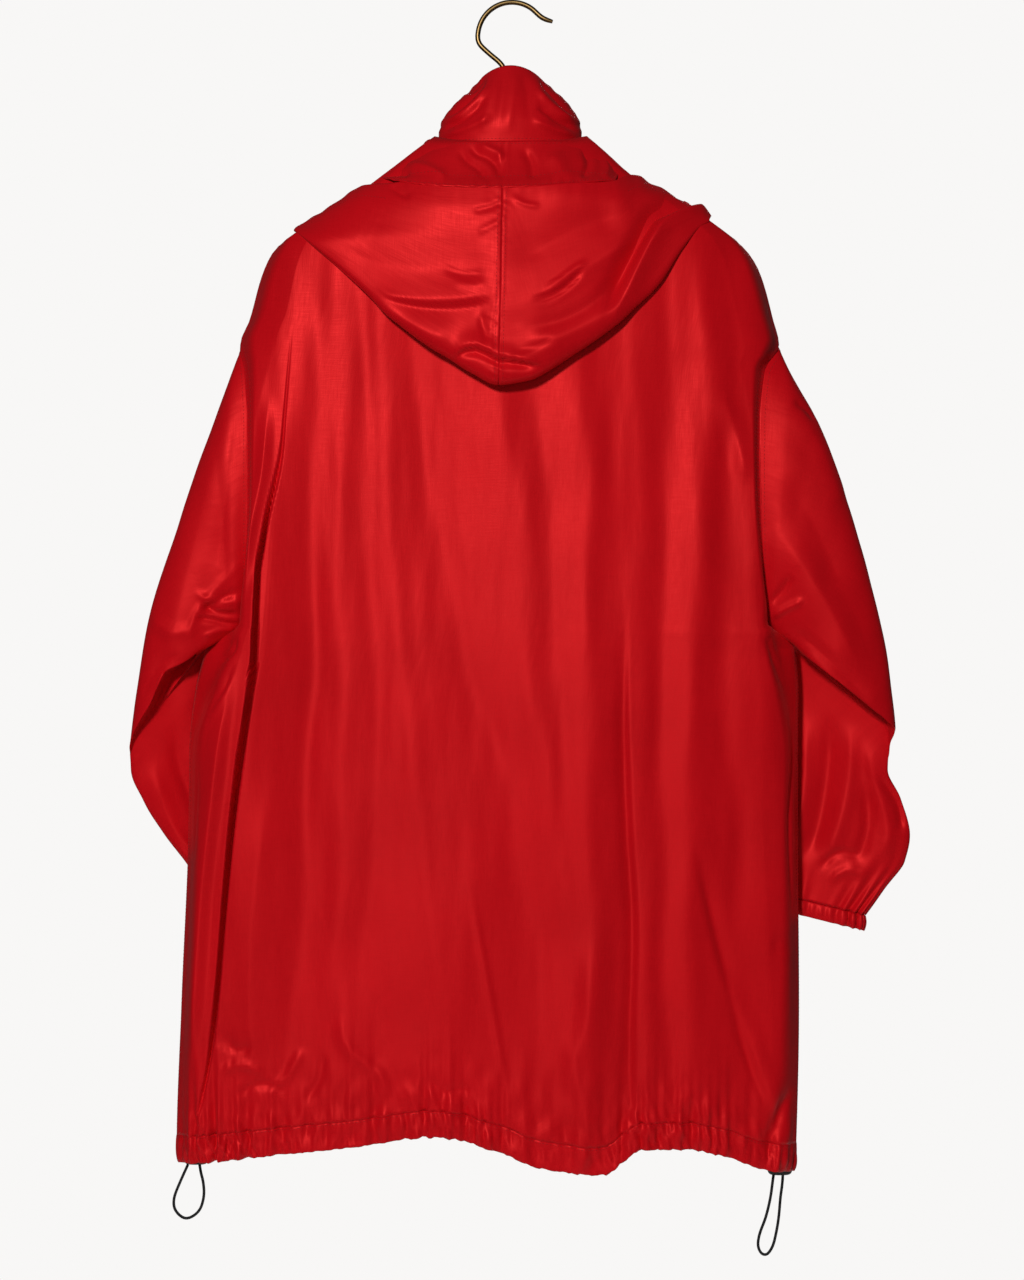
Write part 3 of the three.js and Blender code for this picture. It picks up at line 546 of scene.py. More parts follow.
frontHem = table("x z", [
    [-286, -984], [-256, -978], [-225, -970], [-150, -962], [-65, -953], [-14, -960], [60, -972],
    [120, -960], [180, -966], [212, -983.4], [245, -991],
])
armhole = {"top": -289, "bottom": -530, "depth": 28}
neck = {"backZ": -122, "sideZ": -119, "frontZ": -190, "half": 61, "middle": -2}
hem = {"level": -975, "height": 22, "swingTop": -800}
frontEdge = 5.5
body = curves(bodySections, "z")
hems = {"back": curve(backHem, "x", "z"), "front": curve(frontHem, "x", "z")}
armholeMiddle = (armhole["top"] + armhole["bottom"]) / 2
armholeReach = (armhole["top"] - armhole["bottom"]) / 2


def armholeHalf(z):
    t = (z - armholeMiddle) / armholeReach
    return armhole["depth"] * np.sqrt(np.maximum(0, 1 - t * t))


def swellAt(across, power):
    return np.maximum(0, 1 - np.abs(across) ** 2.2) ** power


sideFlare = {"wide": armhole["depth"], "from": -640}


def bodyPoint(side, across, z):
    # side is -1 behind and 1 in front; across is -1...1 between the side edges.
    back = side < 0
    across, z = np.broadcast_arrays(np.asarray(across, float), np.asarray(z, float))
    power = 0.5 if back else lerp(0.5, 0.85, smooth(-z, -armhole["bottom"], 640))
    middle = (body["left"](z) + body["right"](z)) / 2
    spare = body["spare"](z)
    half = body["right"](z) - middle + spare
    edge = across ** 6
    # below the armhole only the outermost cloth flares out to the side seam
    flare = sideFlare["wide"] * smooth(z, sideFlare["from"], armhole["bottom"])
    flared = np.maximum(spare, flare)
    slow = np.where(z < armhole["bottom"], flared, spare)
    x = middle + across * (half - slow * edge) + (slow - spare) * across ** 41
    full = body["back"](z) if back else body["front"](z)
    cut = armholeHalf(z) - full * swellAt(1 - spare / half, power)
    low = np.exp(-((z - armhole["bottom"]) / 20) ** 2)
    depth = full * swellAt((x - middle) / half, power) + cut * edge ** lerp(2, 9, low)
    drop = (hems["back"] if back else hems["front"])(x) - hem["level"]
    y = body["seamY"](z) * across ** 4 + side * depth
    return np.stack([x, y, z + drop * smooth(-z, -hem["swingTop"], -hem["level"])], axis=-1)


def acrossAt(x, z, spread=0.0):
    middle = (body["left"](z) + body["right"](z)) / 2
    half = body["right"](z) - middle + body["spare"](z) + spread
    return np.clip((x - middle) / half, -1, 1)


# Long folds of the back from its left to its right, and the smaller creases by its seams and hem.
backFolds = [
    [(-178, -250, 0), (-182, -330, 0), (-199, -450, 4.5), (-209, -560, 7.5), (-218, -620, 8),
     (-229, -700, 8), (-239, -800, 6), (-252, -900, 4), (-266, -975, 1)],
    [(-160, -250, -2), (-163, -330, -4), (-166, -450, -6), (-169, -560, -8.5), (-175, -680, -9),
     (-176, -800, -8), (-184, -900, -5), (-190, -975, -2)],
    [(-147, -250, 0), (-143, -330, -4), (-142, -450, -4.5), (-143, -560, -4.5), (-144, -680, -5),
     (-146, -800, -4.5), (-134, -900, -2), (-130, -975, 0)],
    [(-126, -250, -3), (-123, -330, -7.5), (-119, -450, -8.5), (-113, -560, -9), (-114, -680, -9.5),
     (-122, -800, -8), (-112, -900, -5), (-104, -975, -2)],
    [(-112, -250, -1), (-107, -330, -5.5), (-102, -450, -6), (-92, -560, -6.5), (-79, -680, -4.5),
     (-63, -800, -3), (-52, -900, -2), (-48, -975, 0)],
    [(-84, -250, -3), (-80, -330, -8.5), (-62, -450, -10), (-38, -560, -10.5), (-6, -660, -9.5),
     (12, -750, -9), (22, -850, -7), (30, -920, -4), (32, -975, -1)],
    [(-10, -250, 0), (-4, -350, -2), (11, -450, -3), (15, -560, -3.5), (32, -660, -3.5),
     (44, -750, -3.5), (48, -850, -2.5), (50, -920, -1), (50, -975, 0)],
    [(22, -250, -2), (24, -350, -4.5), (31, -450, -5), (33, -560, -5), (43, -660, -4.6),
     (52, -750, -3.2), (54, -850, -2.2), (55, -920, -1.2), (55, -975, 0)],
    [(58, -250, 1), (61, -330, 0), (64, -450, 0), (64, -560, 0), (65, -660, -0.5), (67, -750, -0.5),
     (66, -850, 0), (63, -920, 1), (62, -975, 1)],
    [(80, -250, -2), (82, -330, -2.5), (84, -450, -2.5), (86, -560, -2.6), (89, -660, -3.4),
     (91, -750, -5), (91, -850, -5), (90, -920, -4), (90, -975, -1)],
    [(106, -250, 0), (108, -330, -1.5), (110, -450, -1.5), (111, -560, -2), (112, -660, -2.4),
     (113, -750, -2), (114, -850, -1), (112, -920, 1), (112, -975, 2)],
    [(128, -250, -2), (128, -330, -4), (126, -450, -4), (124, -560, -4.2), (125, -660, -4.6),
     (126, -750, -4.6), (128, -850, -4), (132, -920, -3), (134, -975, -1)],
    [(160, -250, 3), (163, -330, 4), (157, -450, 3.2), (151, -560, 2.8), (148, -680, 2),
     (147, -800, 1), (151, -900, 2), (152, -975, 1)],
    [(184, -250, -1), (181, -330, 0), (177, -450, -1), (173, -560, -1), (184, -680, -2.4),
     (190, -800, -3), (198, -900, -4), (200, -975, -2)],
    [(202, -250, 1), (198, -330, 2), (200, -450, 4), (211, -560, 7), (217, -660, 7), (229, -750, 7),
     (234, -850, 4), (230, -920, 2), (226, -975, 1)],
]
# The deep narrow trough below the left armhole runs straight in.
trough = curves(table("z x wide deep", [
    [-280, -184, 1, 0], [-340, -189, 1.6, 1], [-383, -192.5, 2, 4], [-440, -205, 3, 13],
    [-460, -208.5, 3.6, 18], [-480, -212, 4.2, 21], [-520, -213.8, 5, 23], [-560, -215.5, 5.2, 24],
    [-600, -221, 5.6, 24], [-640, -227.5, 5.2, 24], [-690, -234, 4.4, 23], [-760, -241, 4, 20],
    [-840, -248, 3.4, 16], [-900, -256, 2.4, 8], [-950, -268, 1.4, 0],
]), "z")
backCreases = [
    [3.5, 8, 6, 0.9, [(-201, -330), (-206, -400), (-214, -440), (-220, -480), (-223, -520)]],
    [6.5, 16, 6, 0.9, [(-226, -545), (-231, -580), (-237, -620), (-245, -690), (-253, -760),
                       (-260, -850), (-268, -920)]],
    [3.0, 16, 22, 0.9, [(-196, -640), (-210, -730), (-218, -830), (-216, -930)]],
    [1.6, 4, 3, 1.0, [(-36, -740), (-20, -830), (-2, -935)]],
    [3.5, 12, 18, 0.9, [(66, -780), (62, -862), (52, -885), (60, -920), (62, -985)]],
    [-4.5, 8, 2.5, 0.8, [(95, -500), (94, -600), (97, -690), (102, -780), (100, -870),
                         (103, -985)]],
    [3.0, 10, 12, 0.9, [(172, -330), (186, -372), (194, -410)]],
    [-3.5, 5, 10, 0.8, [(150, -700), (177, -812), (198, -888), (220, -942)]],
    [3.5, 7, 10, 0.9, [(172, -800), (196, -868), (224, -937)]],
    [-3.0, 3.5, 6, 0.8, [(212, -797), (226, -794), (243, -797)]],
    [-7.0, 7, 5, 0.6, [(240, -905), (226, -925), (219, -945), (214, -975)]],
    [4.0, 5, 8, 0.8, [(238, -925), (232, -945), (228, -975)]],
    # drag lines from the underarms
    [-4.5, 5, 2.4, 0.9, [(-225, -535), (-226, -545), (-229, -552), (-238, -557), (-252, -560)]],
    [-4.0, 3.0, 5, 0.9, [(-258, -555), (-246, -551), (-236, -546), (-228, -541)]],
    [1.8, 4, 3, 0.9, [(-266, -550), (-258, -566), (-255, -580), (-247, -587)]],
    [-3.2, 2.6, 5, 0.9, [(-252, -588), (-244, -586), (-236, -580)]],
    [-3.0, 2.4, 3, 0.9, [(-250, -602), (-241, -592), (-234, -580), (-230, -568)]],
    [1.8, 5, 4, 0.9, [(-258, -585), (-264, -602), (-265, -618), (-260, -626)]],
    [1.8, 4, 6, 0.9, [(-266, -626), (-252, -614), (-240, -598), (-230, -575)]],
    [-1.8, 4, 4, 0.9, [(-256, -640), (-258, -680), (-262, -730)]],
    [-3.0, 4, 4, 0.6, [(205, -530), (212, -548), (220, -566), (230, -582)]],
    [2.6, 4, 4, 0.6, [(212, -534), (219, -550), (228, -566)]],
    [3.0, 4, 6, 0.8, [(238, -588), (240, -640), (235, -690), (240, -780)]],
    [-4.5, 5, 2.5, 0.8, [(232, -582), (234, -640), (229, -690), (235, -790)]],
    # crinkles above the left end of the hem
    [-2.6, 4, 5, 0.8, [(-250, -868), (-228, -884), (-214, -880)]],
    [2.4, 5, 4, 0.8, [(-246, -902), (-226, -896), (-205, -905)]],
    [-2.4, 4, 4, 0.8, [(-236, -925), (-212, -914), (-188, -922)]],
    [2.2, 5, 5, 0.8, [(-205, -925), (-186, -905), (-176, -884)]],
    [-2.2, 4, 5, 0.8, [(-176, -935), (-162, -915), (-158, -890)]],
    [2.2, 7, 6, 0.8, [(-146, -850), (-138, -885), (-112, -912), (-100, -935)]],
    [-2.0, 6, 7, 0.8, [(-70, -920), (-58, -935), (-30, -925)]],
]
frontCreases = [
    [-8, 16, 12, 0.3, [(-185, -320), (-205, -520), (-222, -760), (-232, -960)]],
    [6, 18, 14, 0.6, [(-135, -300), (-140, -520), (-146, -740), (-150, -965)]],
    [-5, 14, 18, 0.3, [(-84, -360), (-90, -600), (-86, -800), (-92, -975)]],
    [5, 12, 16, 0.6, [(-48, -400), (-44, -620), (-52, -800), (-52, -975)]],
    [5, 14, 14, 0.6, [(52, -380), (46, -600), (50, -800), (46, -975)]],
    [-6, 15, 18, 0.3, [(92, -330), (96, -560), (88, -760), (84, -975)]],
    [6, 17, 15, 0.6, [(140, -300), (146, -520), (136, -720), (134, -965)]],
    [-6, 12, 14, 0.3, [(184, -350), (186, -560), (196, -760), (196, -950)]],
    [2.5, 9, 8, 0.6, [(-180, -440), (-168, -600), (-182, -780)]],
    [2.5, 8, 9, 0.6, [(96, -640), (112, -780), (110, -900)]],
    [-3, 5, 5, 0.5, [(-206, -512), (-224, -550), (-236, -620)]],
    [3, 5, 5, 0.5, [(-226, -540), (-244, -575), (-252, -620)]],
    [-3, 5, 5, 0.5, [(200, -515), (214, -550), (220, -620)]],
    [3, 5, 5, 0.5, [(214, -540), (228, -575), (234, -620)]],
    [-2.5, 5, 6, 0.6, [(-120, -880), (-92, -905), (-70, -900)]],
    [2.5, 5, 6, 0.6, [(60, -880), (84, -905), (110, -897)]],
    [-3, 6, 8, 0.5, [(-150, -215), (-120, -238), (-70, -262), (-20, -275)]],
    [-3, 8, 6, 0.5, [(148, -215), (116, -240), (70, -258), (22, -270)]],
    [3, 7, 8, 0.5, [(-140, -236), (-104, -268), (-60, -292)]],
    [3, 8, 7, 0.5, [(140, -238), (100, -266), (58, -290)]],
]

gatherLook = {
    "hemPitch": 10.0, "hemDepth": 2.9, "hemReach": 40, "finePitch": 5.5,
    "hemCrumple": 1.1, "seamPucker": 0.45,
    "folds": 1.0, "flatten": 0.45, "flattenMost": 9,
}


def hemGather(seed, x, z):
    # Gathers drawn up by the hem's elastic: deepest at the casing, each with its own reach.
    look = gatherLook
    reach = look["hemReach"] * (0.75 + 0.45 * ripple(seed + 1, x, 70))
    above = z - (hem["level"] + hem["height"])
    fade = np.exp(-(np.maximum(above, 0) / np.maximum(reach, 9)) ** 1.3)
    fine = ripple(seed, x, look["hemPitch"]) + 0.7 * ripple(seed + 2, x, 2.4 * look["hemPitch"])
    strength = 0.6 + 0.4 * ripple(seed + 3, x, 120)
    small = ripple(seed + 4, x + 0.4 * above, look["finePitch"])
    small = small * np.exp(-np.maximum(above, 0) / 14)
    crumple = waver(seed + 6, x, z, 22, 30) * np.exp(-(np.maximum(above, 0) / 34) ** 1.5)
    return look["hemDepth"] * (fine * fade + 0.4 * small) * np.clip(strength, 0.15, 1.2) \
        + look["hemCrumple"] * crumple


def bodyRelief(side, x, z, across, depth):
    inside = smooth(1 - np.abs(across), 0, 0.09)
    height = creaseHeight(backCreases if side < 0 else frontCreases, x, z)
    seed = 11 if side < 0 else 31
    height = height + 0.5 * waver(seed, x, z, 64, 300) + 0.2 * waver(seed + 1, x, z, 26, 110)
    if side < 0:  # the back hangs flatter than it is cut
        wander = 2.6 * waver(seed + 7, x, z, 260, 130)
        folded = gatherLook["folds"] * foldHeight(backFolds, x + wander, z)
        flattened = gatherLook["flatten"] * (body["back"](z) - depth)
        height = height + folded * smooth(-z, 150, 260)
        height = height + np.minimum(flattened, gatherLook["flattenMost"])
    height = height + hemGather(seed, x, z) * smooth(-z, 820, 900)
    # puckers along the armhole and the side seam
    edge = (1 - np.abs(across)) * 240
    pucker = ripple(seed + 5 + np.sign(side), z, 9) * np.exp(-(edge / 7) ** 2)
    return height * inside + gatherLook["seamPucker"] * pucker * smooth(edge, 0, 2)


def troughDepth(x, z):
    z = np.clip(z, -949, -281)
    away, half, wall = x - trough["x"](z), trough["wide"](z) / 2, 0.7
    low, high = -half - wall, -half + wall
    return trough["deep"](z) * smooth(away, low, high) * smooth(-away, low, high)


def bodySurface(side, across, z):
    base = bodyPoint(side, across, z)
    turn = 1 if side < 0 else np.sign(across[0, 0])
    normals = gridNormals(base, False, turn)
    depth = np.abs(base[..., 1] - body["seamY"](z) * across ** 4)
    deepest = -(1.25 if side < 0 else 0.75) * depth
    height = np.maximum(bodyRelief(side, base[..., 0], z, across, depth), deepest)
    surface = base + normals * height[..., None]
    if side < 0:
        surface[..., 1] += troughDepth(surface[..., 0], z)
    return surface


def rowsBetween(levels, spacing):
    rows = [levels[0]]
    for a, b in zip(levels, levels[1:]):
        count = max(1, round(abs(b - a) / spacing))
        rows += [lerp(a, b, i / count) for i in range(1, count + 1)]
    return np.array(rows)


panelTop = -122.4
panelLow = hem["level"] + hem["height"]
panelRows = np.array([panelTop])
for level, spacing in ((armhole["top"], 6.4), (armhole["bottom"], 5.6), (-560, 2.6), (-880, 7.0),
                       (panelLow, 3.0)):
    panelRows = np.append(panelRows, rowsBetween([panelRows[-1], level], spacing)[1:])


def backColumns(count):  # closer together by the sides and over the deep trough
    fine = np.linspace(-1, 1, 2001)
    closeness = 1 / (0.25 + 0.9 * np.sqrt(1 - fine * fine))
    closeness = closeness + 3.4 * np.exp(-((fine + 0.83) / 0.07) ** 2)
    share = np.cumsum(closeness)
    return np.interp(np.linspace(share[0], share[-1], count), share, fine)


backAcross = backColumns(321)
backGrid = bodySurface(-1, *np.meshgrid(backAcross, panelRows))
backNormals = gridNormals(backGrid, False, 1)
backPanel = clothPiece("backPanel", backGrid)
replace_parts(backPanel, "back_panel")


def casing(side, across, levels, turn):
    # The hem's flat tube: face, rolled bottom edge and the layer behind it.
    grid = bodySurface(side, *np.meshgrid(across, levels))
    normals = gridNormals(grid, False, turn)
    count = len(levels)
    t = np.linspace(0, 1, count)[:, None]
    swell = 0.45 * np.sin(np.pi * np.clip(t * 1.02, 0, 1))
    x = grid[..., 0]
    tight = 0.8 * ripple(71, x + 3 * t, 6.5) * np.sin(np.pi * t) ** 0.5
    face = grid + normals * (swell + tight)[..., None]
    behind = grid - normals * (0.9 + 0.6 * swell)[..., None]
    low = (face[-1:] + behind[-1:]) / 2
    low[..., 2] -= 0.7 + 0.5 * ripple(75, x[-1:], 9)
    return np.concatenate([face, low, behind[::-1]])


hemLevels = np.linspace(panelLow + 0.4, hem["level"], 12)
casingBack = 0.9  # from the hem's face to the layer behind it
hemBackGrid = casing(-1, backAcross, hemLevels, 1)
hemBack = clothPiece("hemBack", hemBackGrid, closed=True, wall=0)
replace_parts(hemBack, "hem_back")


zipFoot = -14  # the zip line's place at the hem


def centreFront(z):
    down = np.clip((neck["frontZ"] - z) / (neck["frontZ"] - hem["level"]), 0, 1)
    return lerp(neck["middle"], zipFoot, down)


def neckHalf(z):
    t = np.clip((neck["sideZ"] - z) / (neck["sideZ"] - neck["frontZ"]), 0, 1)
    return np.maximum(neck["half"] * np.sqrt(1 - t * t * 0.999), frontEdge)


def frontAcross(hand, z, count):
    reach = np.where(z > neck["frontZ"], neckHalf(z), frontEdge)
    inner = acrossAt(centreFront(z) + hand * reach, z)
    t = 1 - np.cos(np.linspace(0, 1, count) * np.pi / 2)
    return lerp(hand, inner[:, None], t[None])


for hand, name in ((-1, "Left"), (1, "Right")):
    rows = panelRows[panelRows < -124]
    across = frontAcross(hand, rows, 101)
    grid = bodySurface(1, across, np.repeat(rows[:, None], 101, 1))
    panel = clothPiece(f"front{name}", grid, turn=hand)
    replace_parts(panel, f"front_{name.lower()}")
    low = frontAcross(hand, hemLevels, 101)
    levels = np.repeat(hemLevels[:, None], 101, 1)
    face = bodySurface(1, low, levels)
    normals = gridNormals(face, False, hand)
    t = np.linspace(0, 1, len(hemLevels))[:, None]
    swell = 1.3 * np.sin(np.pi * np.clip(t * 1.02, 0, 1)) ** 0.6
    swell = swell + 0.5 * ripple(73, face[..., 0], 7.5) * np.sin(np.pi * t) ** 0.5
    outer = face + normals * swell[..., None]
    inner = face - normals * casingBack
    bottom = (outer[-1:] + inner[-1:]) / 2
    bottom[..., 2] -= 0.7
    strip = clothPiece(f"hemFront{name}", np.concatenate([outer, bottom, inner[::-1]]), turn=hand,
                       closed=True, wall=0)
    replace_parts(strip, f"hem_front_{name.lower()}")
print("body ready")

# Sleeves and cuffs
sleeveColumns = "outerX outerY outerZ innerX innerY innerZ back front tuck bow"
leftSleeve = [
    [-240, 0, -318, -232, -2, -531.5, 29, 25, 0, 0],
    [-252, 0, -353, -237, -4, -535, 26, 22, 0, 0],
    [-282, 0, -438, -246, -7, -540, 21, 17, 0, 0],
    [-308, -2, -523, -256, -9, -545.5, 17, 14, 0, 0],
    [-319, -3, -585, -262, -9, -549, 14, 13, 0, 4],
    [-324, -4, -629, -267, -8, -552, 13, 12, 0.15, 11],
    [-325, 3, -638, -256, 22, -541, 7, 12, 0.4, 10],
    [-325, 8, -650, -238, 33, -546, 9, 11, 0, 0],
    [-315, 13, -678, -226, 42, -606, 10, 11, 0, 0],
    [-300, 18, -704, -214, 48, -650, 10, 11, 0, 0],
    [-280, 22, -730, -194, 49, -684, 10, 11, 0, 0],
    [-260, 27, -762, -183, 50, -717, 9, 10, 0, 0],
]
rightSleeve = [
    [236, 0, -312, 218, -2, -531, 29, 25, 0, 0],
    [258, 0, -353, 223, -4, -534, 27, 22, 0, 0],
    [287, 0, -429, 231, -7, -539, 24, 17, 0, 0],
    [304, -2, -489, 238, -9, -544, 20, 14, 0, 0],
    [317, -3, -548, 243, -9, -549, 18, 13, 0, 0],
    [325, -4, -615, 247, -6, -553, 18, 12, 0, 0],
    [322, 4, -629, 234, 24, -538, 5, 12, 0.5, 0],
    [321, 11, -650, 222, 36, -545, 6, 11, 0, 0],
    [333, 15, -676, 218, 41, -606, 9, 12, 0, 0],
    [341, 17, -707, 214, 43, -660, 11, 12, 0, 0],
    [337, 20, -730, 207, 43, -706, 11, 12, 0, 0],
    [318, 24, -757, 211, 42, -738, 10, 11, 0, 0],
    [303, 26, -776, 215, 41, -755, 9, 10, 0, 0],
]
sleeveLook = {"columns": 168, "spacing": 3.2,
              "gatherReach": 30, "gatherDepth": 1.7, "gatherPitch": 9.0}
cuffDrop = {"left": (8, -12), "right": (-1, -13)}

# Creases of the sleeves: on the upper sleeve's back, on the forearm's back, and on the front.
sleeveCreases = {
    "left": {
        "upper": [
            [1.8, 24, 18, 0.9, [(-236, -335), (-252, -400), (-270, -470), (-290, -560)]],
            [-1.4, 9, 9, 0.9, [(-230, -350), (-240, -420), (-250, -490)]],
            [1.4, 4, 6, 0.9, [(-224, -470), (-244, -492), (-260, -510), (-269, -528),
                             (-271, -546)]],
            [-2.6, 3, 5, 0.9, [(-224, -497), (-238, -502), (-250, -509), (-262, -516)]],
            [1.6, 4, 4, 0.9, [(-224, -508), (-240, -508), (-254, -506), (-268, -500)]],
            [-3.4, 3, 6, 0.9, [(-226, -517), (-240, -518), (-252, -515), (-262, -508)]],
            [-3.0, 2.6, 4, 0.9, [(-226, -526), (-240, -526), (-252, -523), (-268, -520)]],
            [1.6, 3, 4, 0.9, [(-228, -530), (-244, -531), (-262, -538)]],
            [1.8, 8, 8, 0.9, [(-264, -530), (-286, -534), (-306, -520)]],
            [-1.6, 8, 8, 0.9, [(-276, -550), (-296, -560), (-314, -590)]],
        ],
        "fore": [
            [3.0, 9, 9, 0.5, [(-306, -640), (-300, -672), (-286, -708), (-262, -742)]],
            [-3.0, 7, 8, 0.5, [(-288, -606), (-284, -650), (-262, -700), (-238, -735)]],
            [3.0, 7, 7, 0.5, [(-268, -600), (-262, -650), (-240, -695), (-216, -725)]],
        ],
        "front": [
            [5, 16, 16, 0.5, [(-246, -350), (-268, -440), (-290, -520), (-304, -600)]],
            [-3, 8, 8, 0.5, [(-236, -500), (-256, -486), (-276, -470)]],
            [3, 6, 6, 0.5, [(-240, -524), (-264, -520), (-290, -512)]],
            [-5, 7, 9, 0.5, [(-248, -575), (-280, -596), (-318, -622)]],
            [5, 8, 8, 0.6, [(-246, -596), (-276, -622), (-314, -644)]],
            [-4, 7, 7, 0.5, [(-240, -620), (-270, -645), (-306, -668)]],
            [3, 8, 8, 0.5, [(-296, -660), (-270, -710), (-240, -745)]],
        ],
    },
    "right": {
        "upper": [
            [4.0, 22, 15, 0.9, [(214, -438), (236, -468), (258, -500), (280, -540), (296, -572)]],
            [-2.4, 16, 18, 0.7, [(226, -400), (252, -440), (280, -500)]],
            [2.2, 12, 14, 0.6, [(232, -340), (256, -372), (280, -430)]],
            [-2.4, 4, 4, 0.7, [(236, -338), (248, -345), (256, -356)]],
            [-2.6, 4, 4, 0.8, [(214, -512), (226, -500), (236, -486)]],
            [2.6, 4, 4, 0.8, [(216, -522), (230, -514), (246, -506)]],
            [-2.2, 8, 7, 0.8, [(226, -524), (250, -542), (280, -570), (304, -592)]],
        ],
        "fore": [
            [3.6, 8, 9, 0.6, [(288, -606), (290, -650), (280, -700), (268, -735)]],
            [-3.6, 7, 8, 0.5, [(272, -600), (270, -650), (262, -700), (250, -735)]],
            [3.0, 7, 8, 0.5, [(300, -622), (312, -665), (322, -705), (312, -735)]],
            [-3.2, 6, 7, 0.5, [(302, -660), (304, -700), (294, -735)]],
            [3.2, 7, 7, 0.5, [(252, -600), (252, -660), (244, -710), (238, -735)]],
            [-2.8, 4, 4, 0.7, [(262, -738), (280, -722), (300, -727)]],
            [2.6, 4, 4, 0.7, [(270, -748), (288, -737), (306, -742)]],
            [-2.6, 5, 4, 0.7, [(312, -655), (330, -680), (334, -706)]],
        ],
        "front": [
            [5, 16, 16, 0.5, [(232, -350), (256, -440), (282, -520), (300, -600)]],
            [-3, 8, 8, 0.5, [(222, -500), (240, -486), (262, -470)]],
            [3, 6, 6, 0.5, [(226, -524), (250, -520), (276, -512)]],
            [-5, 7, 9, 0.5, [(236, -575), (270, -596), (312, -618)]],
            [5, 8, 8, 0.6, [(232, -600), (266, -625), (312, -642)]],
            [-4, 7, 7, 0.5, [(232, -628), (266, -652), (318, -668)]],
            [3, 8, 8, 0.5, [(300, -660), (286, -710), (262, -752)]],
        ],
    },
}


def sleeveRing(station, before, count):
    angle = np.arange(count) * 2 * np.pi / count
    t = (1 - np.cos(angle)) / 2
    behind = np.sin(angle) > 0
    swell = np.abs(np.sin(angle)) ** 0.7  # hangs a little flatter than it is cut
    away = np.where(behind, station["back"], -station["front"]) * swell
    ring = np.stack([lerp(station["outer" + axis], station["inner" + axis], t)
                     for axis in "XYZ"], axis=1)
    ring[:, 1] -= away
    line = ring[count // 2] - ring[0]
    # the fold's edge is not straight
    bow = station["bow"] * np.exp(-((t - 0.62) / 0.22) ** 2) * behind
    ring[:, 0] -= bow * line[2] / np.hypot(line[0], line[2])
    ring[:, 2] += bow * line[0] / np.hypot(line[0], line[2])
    tuck = (station["tuck"] * swell * behind)[:, None]
    ring[:, 0::2] = lerp(ring[:, 0::2], before[:, 0::2], tuck)
    return ring


def armholeRing(hand, count):
    # the sleeve's edge is felled under the body's edge
    edge = body["left"] if hand < 0 else body["right"]
    angle = np.arange(count) * 2 * np.pi / count
    z = armholeMiddle + armholeReach * np.cos(angle)
    y = -np.sign(np.sin(angle)) * np.maximum(armholeHalf(z) - 0.8, 0)
    return np.stack([edge(z) - hand * 1.4, y, z], axis=1)


def sleeveGrid(hand, name, rows):
    count = sleeveLook["columns"]
    stations = [dict(zip(sleeveColumns.split(), row)) for row in rows]
    rings = [armholeRing(hand, count)]
    for station in stations:
        rings.append(sleeveRing(station, rings[max(0, len(rings) - 2)], count))
    rings = np.array(rings)
    gaps = np.linalg.norm(np.diff(rings, axis=0), axis=2).max(axis=1)
    at = np.concatenate([[0], np.cumsum(gaps)])
    fine = rowsBetween(at, sleeveLook["spacing"])
    grid = monotone(at, rings)(fine)
    place = np.interp(fine, at, np.arange(len(at)))
    normals = gridNormals(grid, True, -hand)
    angle = np.arange(count) * 2 * np.pi / count
    behind = smooth(np.sin(angle), 0.02, 0.3)[None]
    ahead = smooth(-np.sin(angle), 0.02, 0.3)[None]
    x, z = grid[..., 0], grid[..., 2]
    upper = 1 - smooth(place, 6.0, 6.8)[:, None]
    fore = smooth(place, 7.2, 8.0)[:, None]
    kinds = sleeveCreases[name]
    height = creaseHeight(kinds["upper"], x, z) * behind * upper
    height += creaseHeight(kinds["fore"], x, z) * behind * fore
    height += creaseHeight(kinds["front"], x, z) * ahead
    height += 0.4 * waver(51 + hand, x, z, 60, 160) + 0.15 * waver(53 + hand, x, z, 22, 60)
    around = np.cumsum(np.linalg.norm(np.diff(grid, axis=1, append=grid[:, :1]), axis=2), axis=1)
    near = np.exp(-((fine[-1] - fine) / sleeveLook["gatherReach"]) ** 1.4)[:, None]
    whole = around[-1, -1]
    loops = [round(whole / sleeveLook["gatherPitch"]) + k for k in (-3, 0, 2, 5)]
    wave = sum(np.sin(angle * loop + 1.7 * loop) for loop in loops)[None] / 2.2
    height += sleeveLook["gatherDepth"] * wave * near
    start = np.exp(-fine / 6)[:, None]
    height += 0.5 * ripple(61 + hand, z, 8.5) * start * smooth(fine, 0, 2)[:, None]
    height *= smooth(fine, 0, 10)[:, None] * 0.9 + 0.1
    return grid + normals * height[..., None]


def cuffGrid(hand, ring, drop):
    # Elastic casing: outer face, rolled edge and inner layer.
    levels = np.linspace(0.02, 1, 11)
    outer = ring[None] + np.array([drop[0], 0, drop[1]]) * levels[:, None, None]
    normals = gridNormals(outer, True, -hand)
    swell = (1.2 * np.sin(np.pi * np.clip(levels, 0, 1)) ** 0.7)[:, None]
    angle = np.arange(ring.shape[0]) * 2 * np.pi / ring.shape[0]
    pucker = 0.5 * np.sin(angle * 37 + 0.8 * np.sin(3 * angle))[None]
    pucker = pucker * np.sin(np.pi * levels)[:, None]
    face = outer + normals * (swell + pucker)[..., None]
    behind = outer - normals * (1.0 + 0.5 * swell)[..., None]
    low = (face[-1:] + behind[-1:]) / 2
    low[..., 2] -= 0.6
    return np.concatenate([face, low, behind[::-1]])


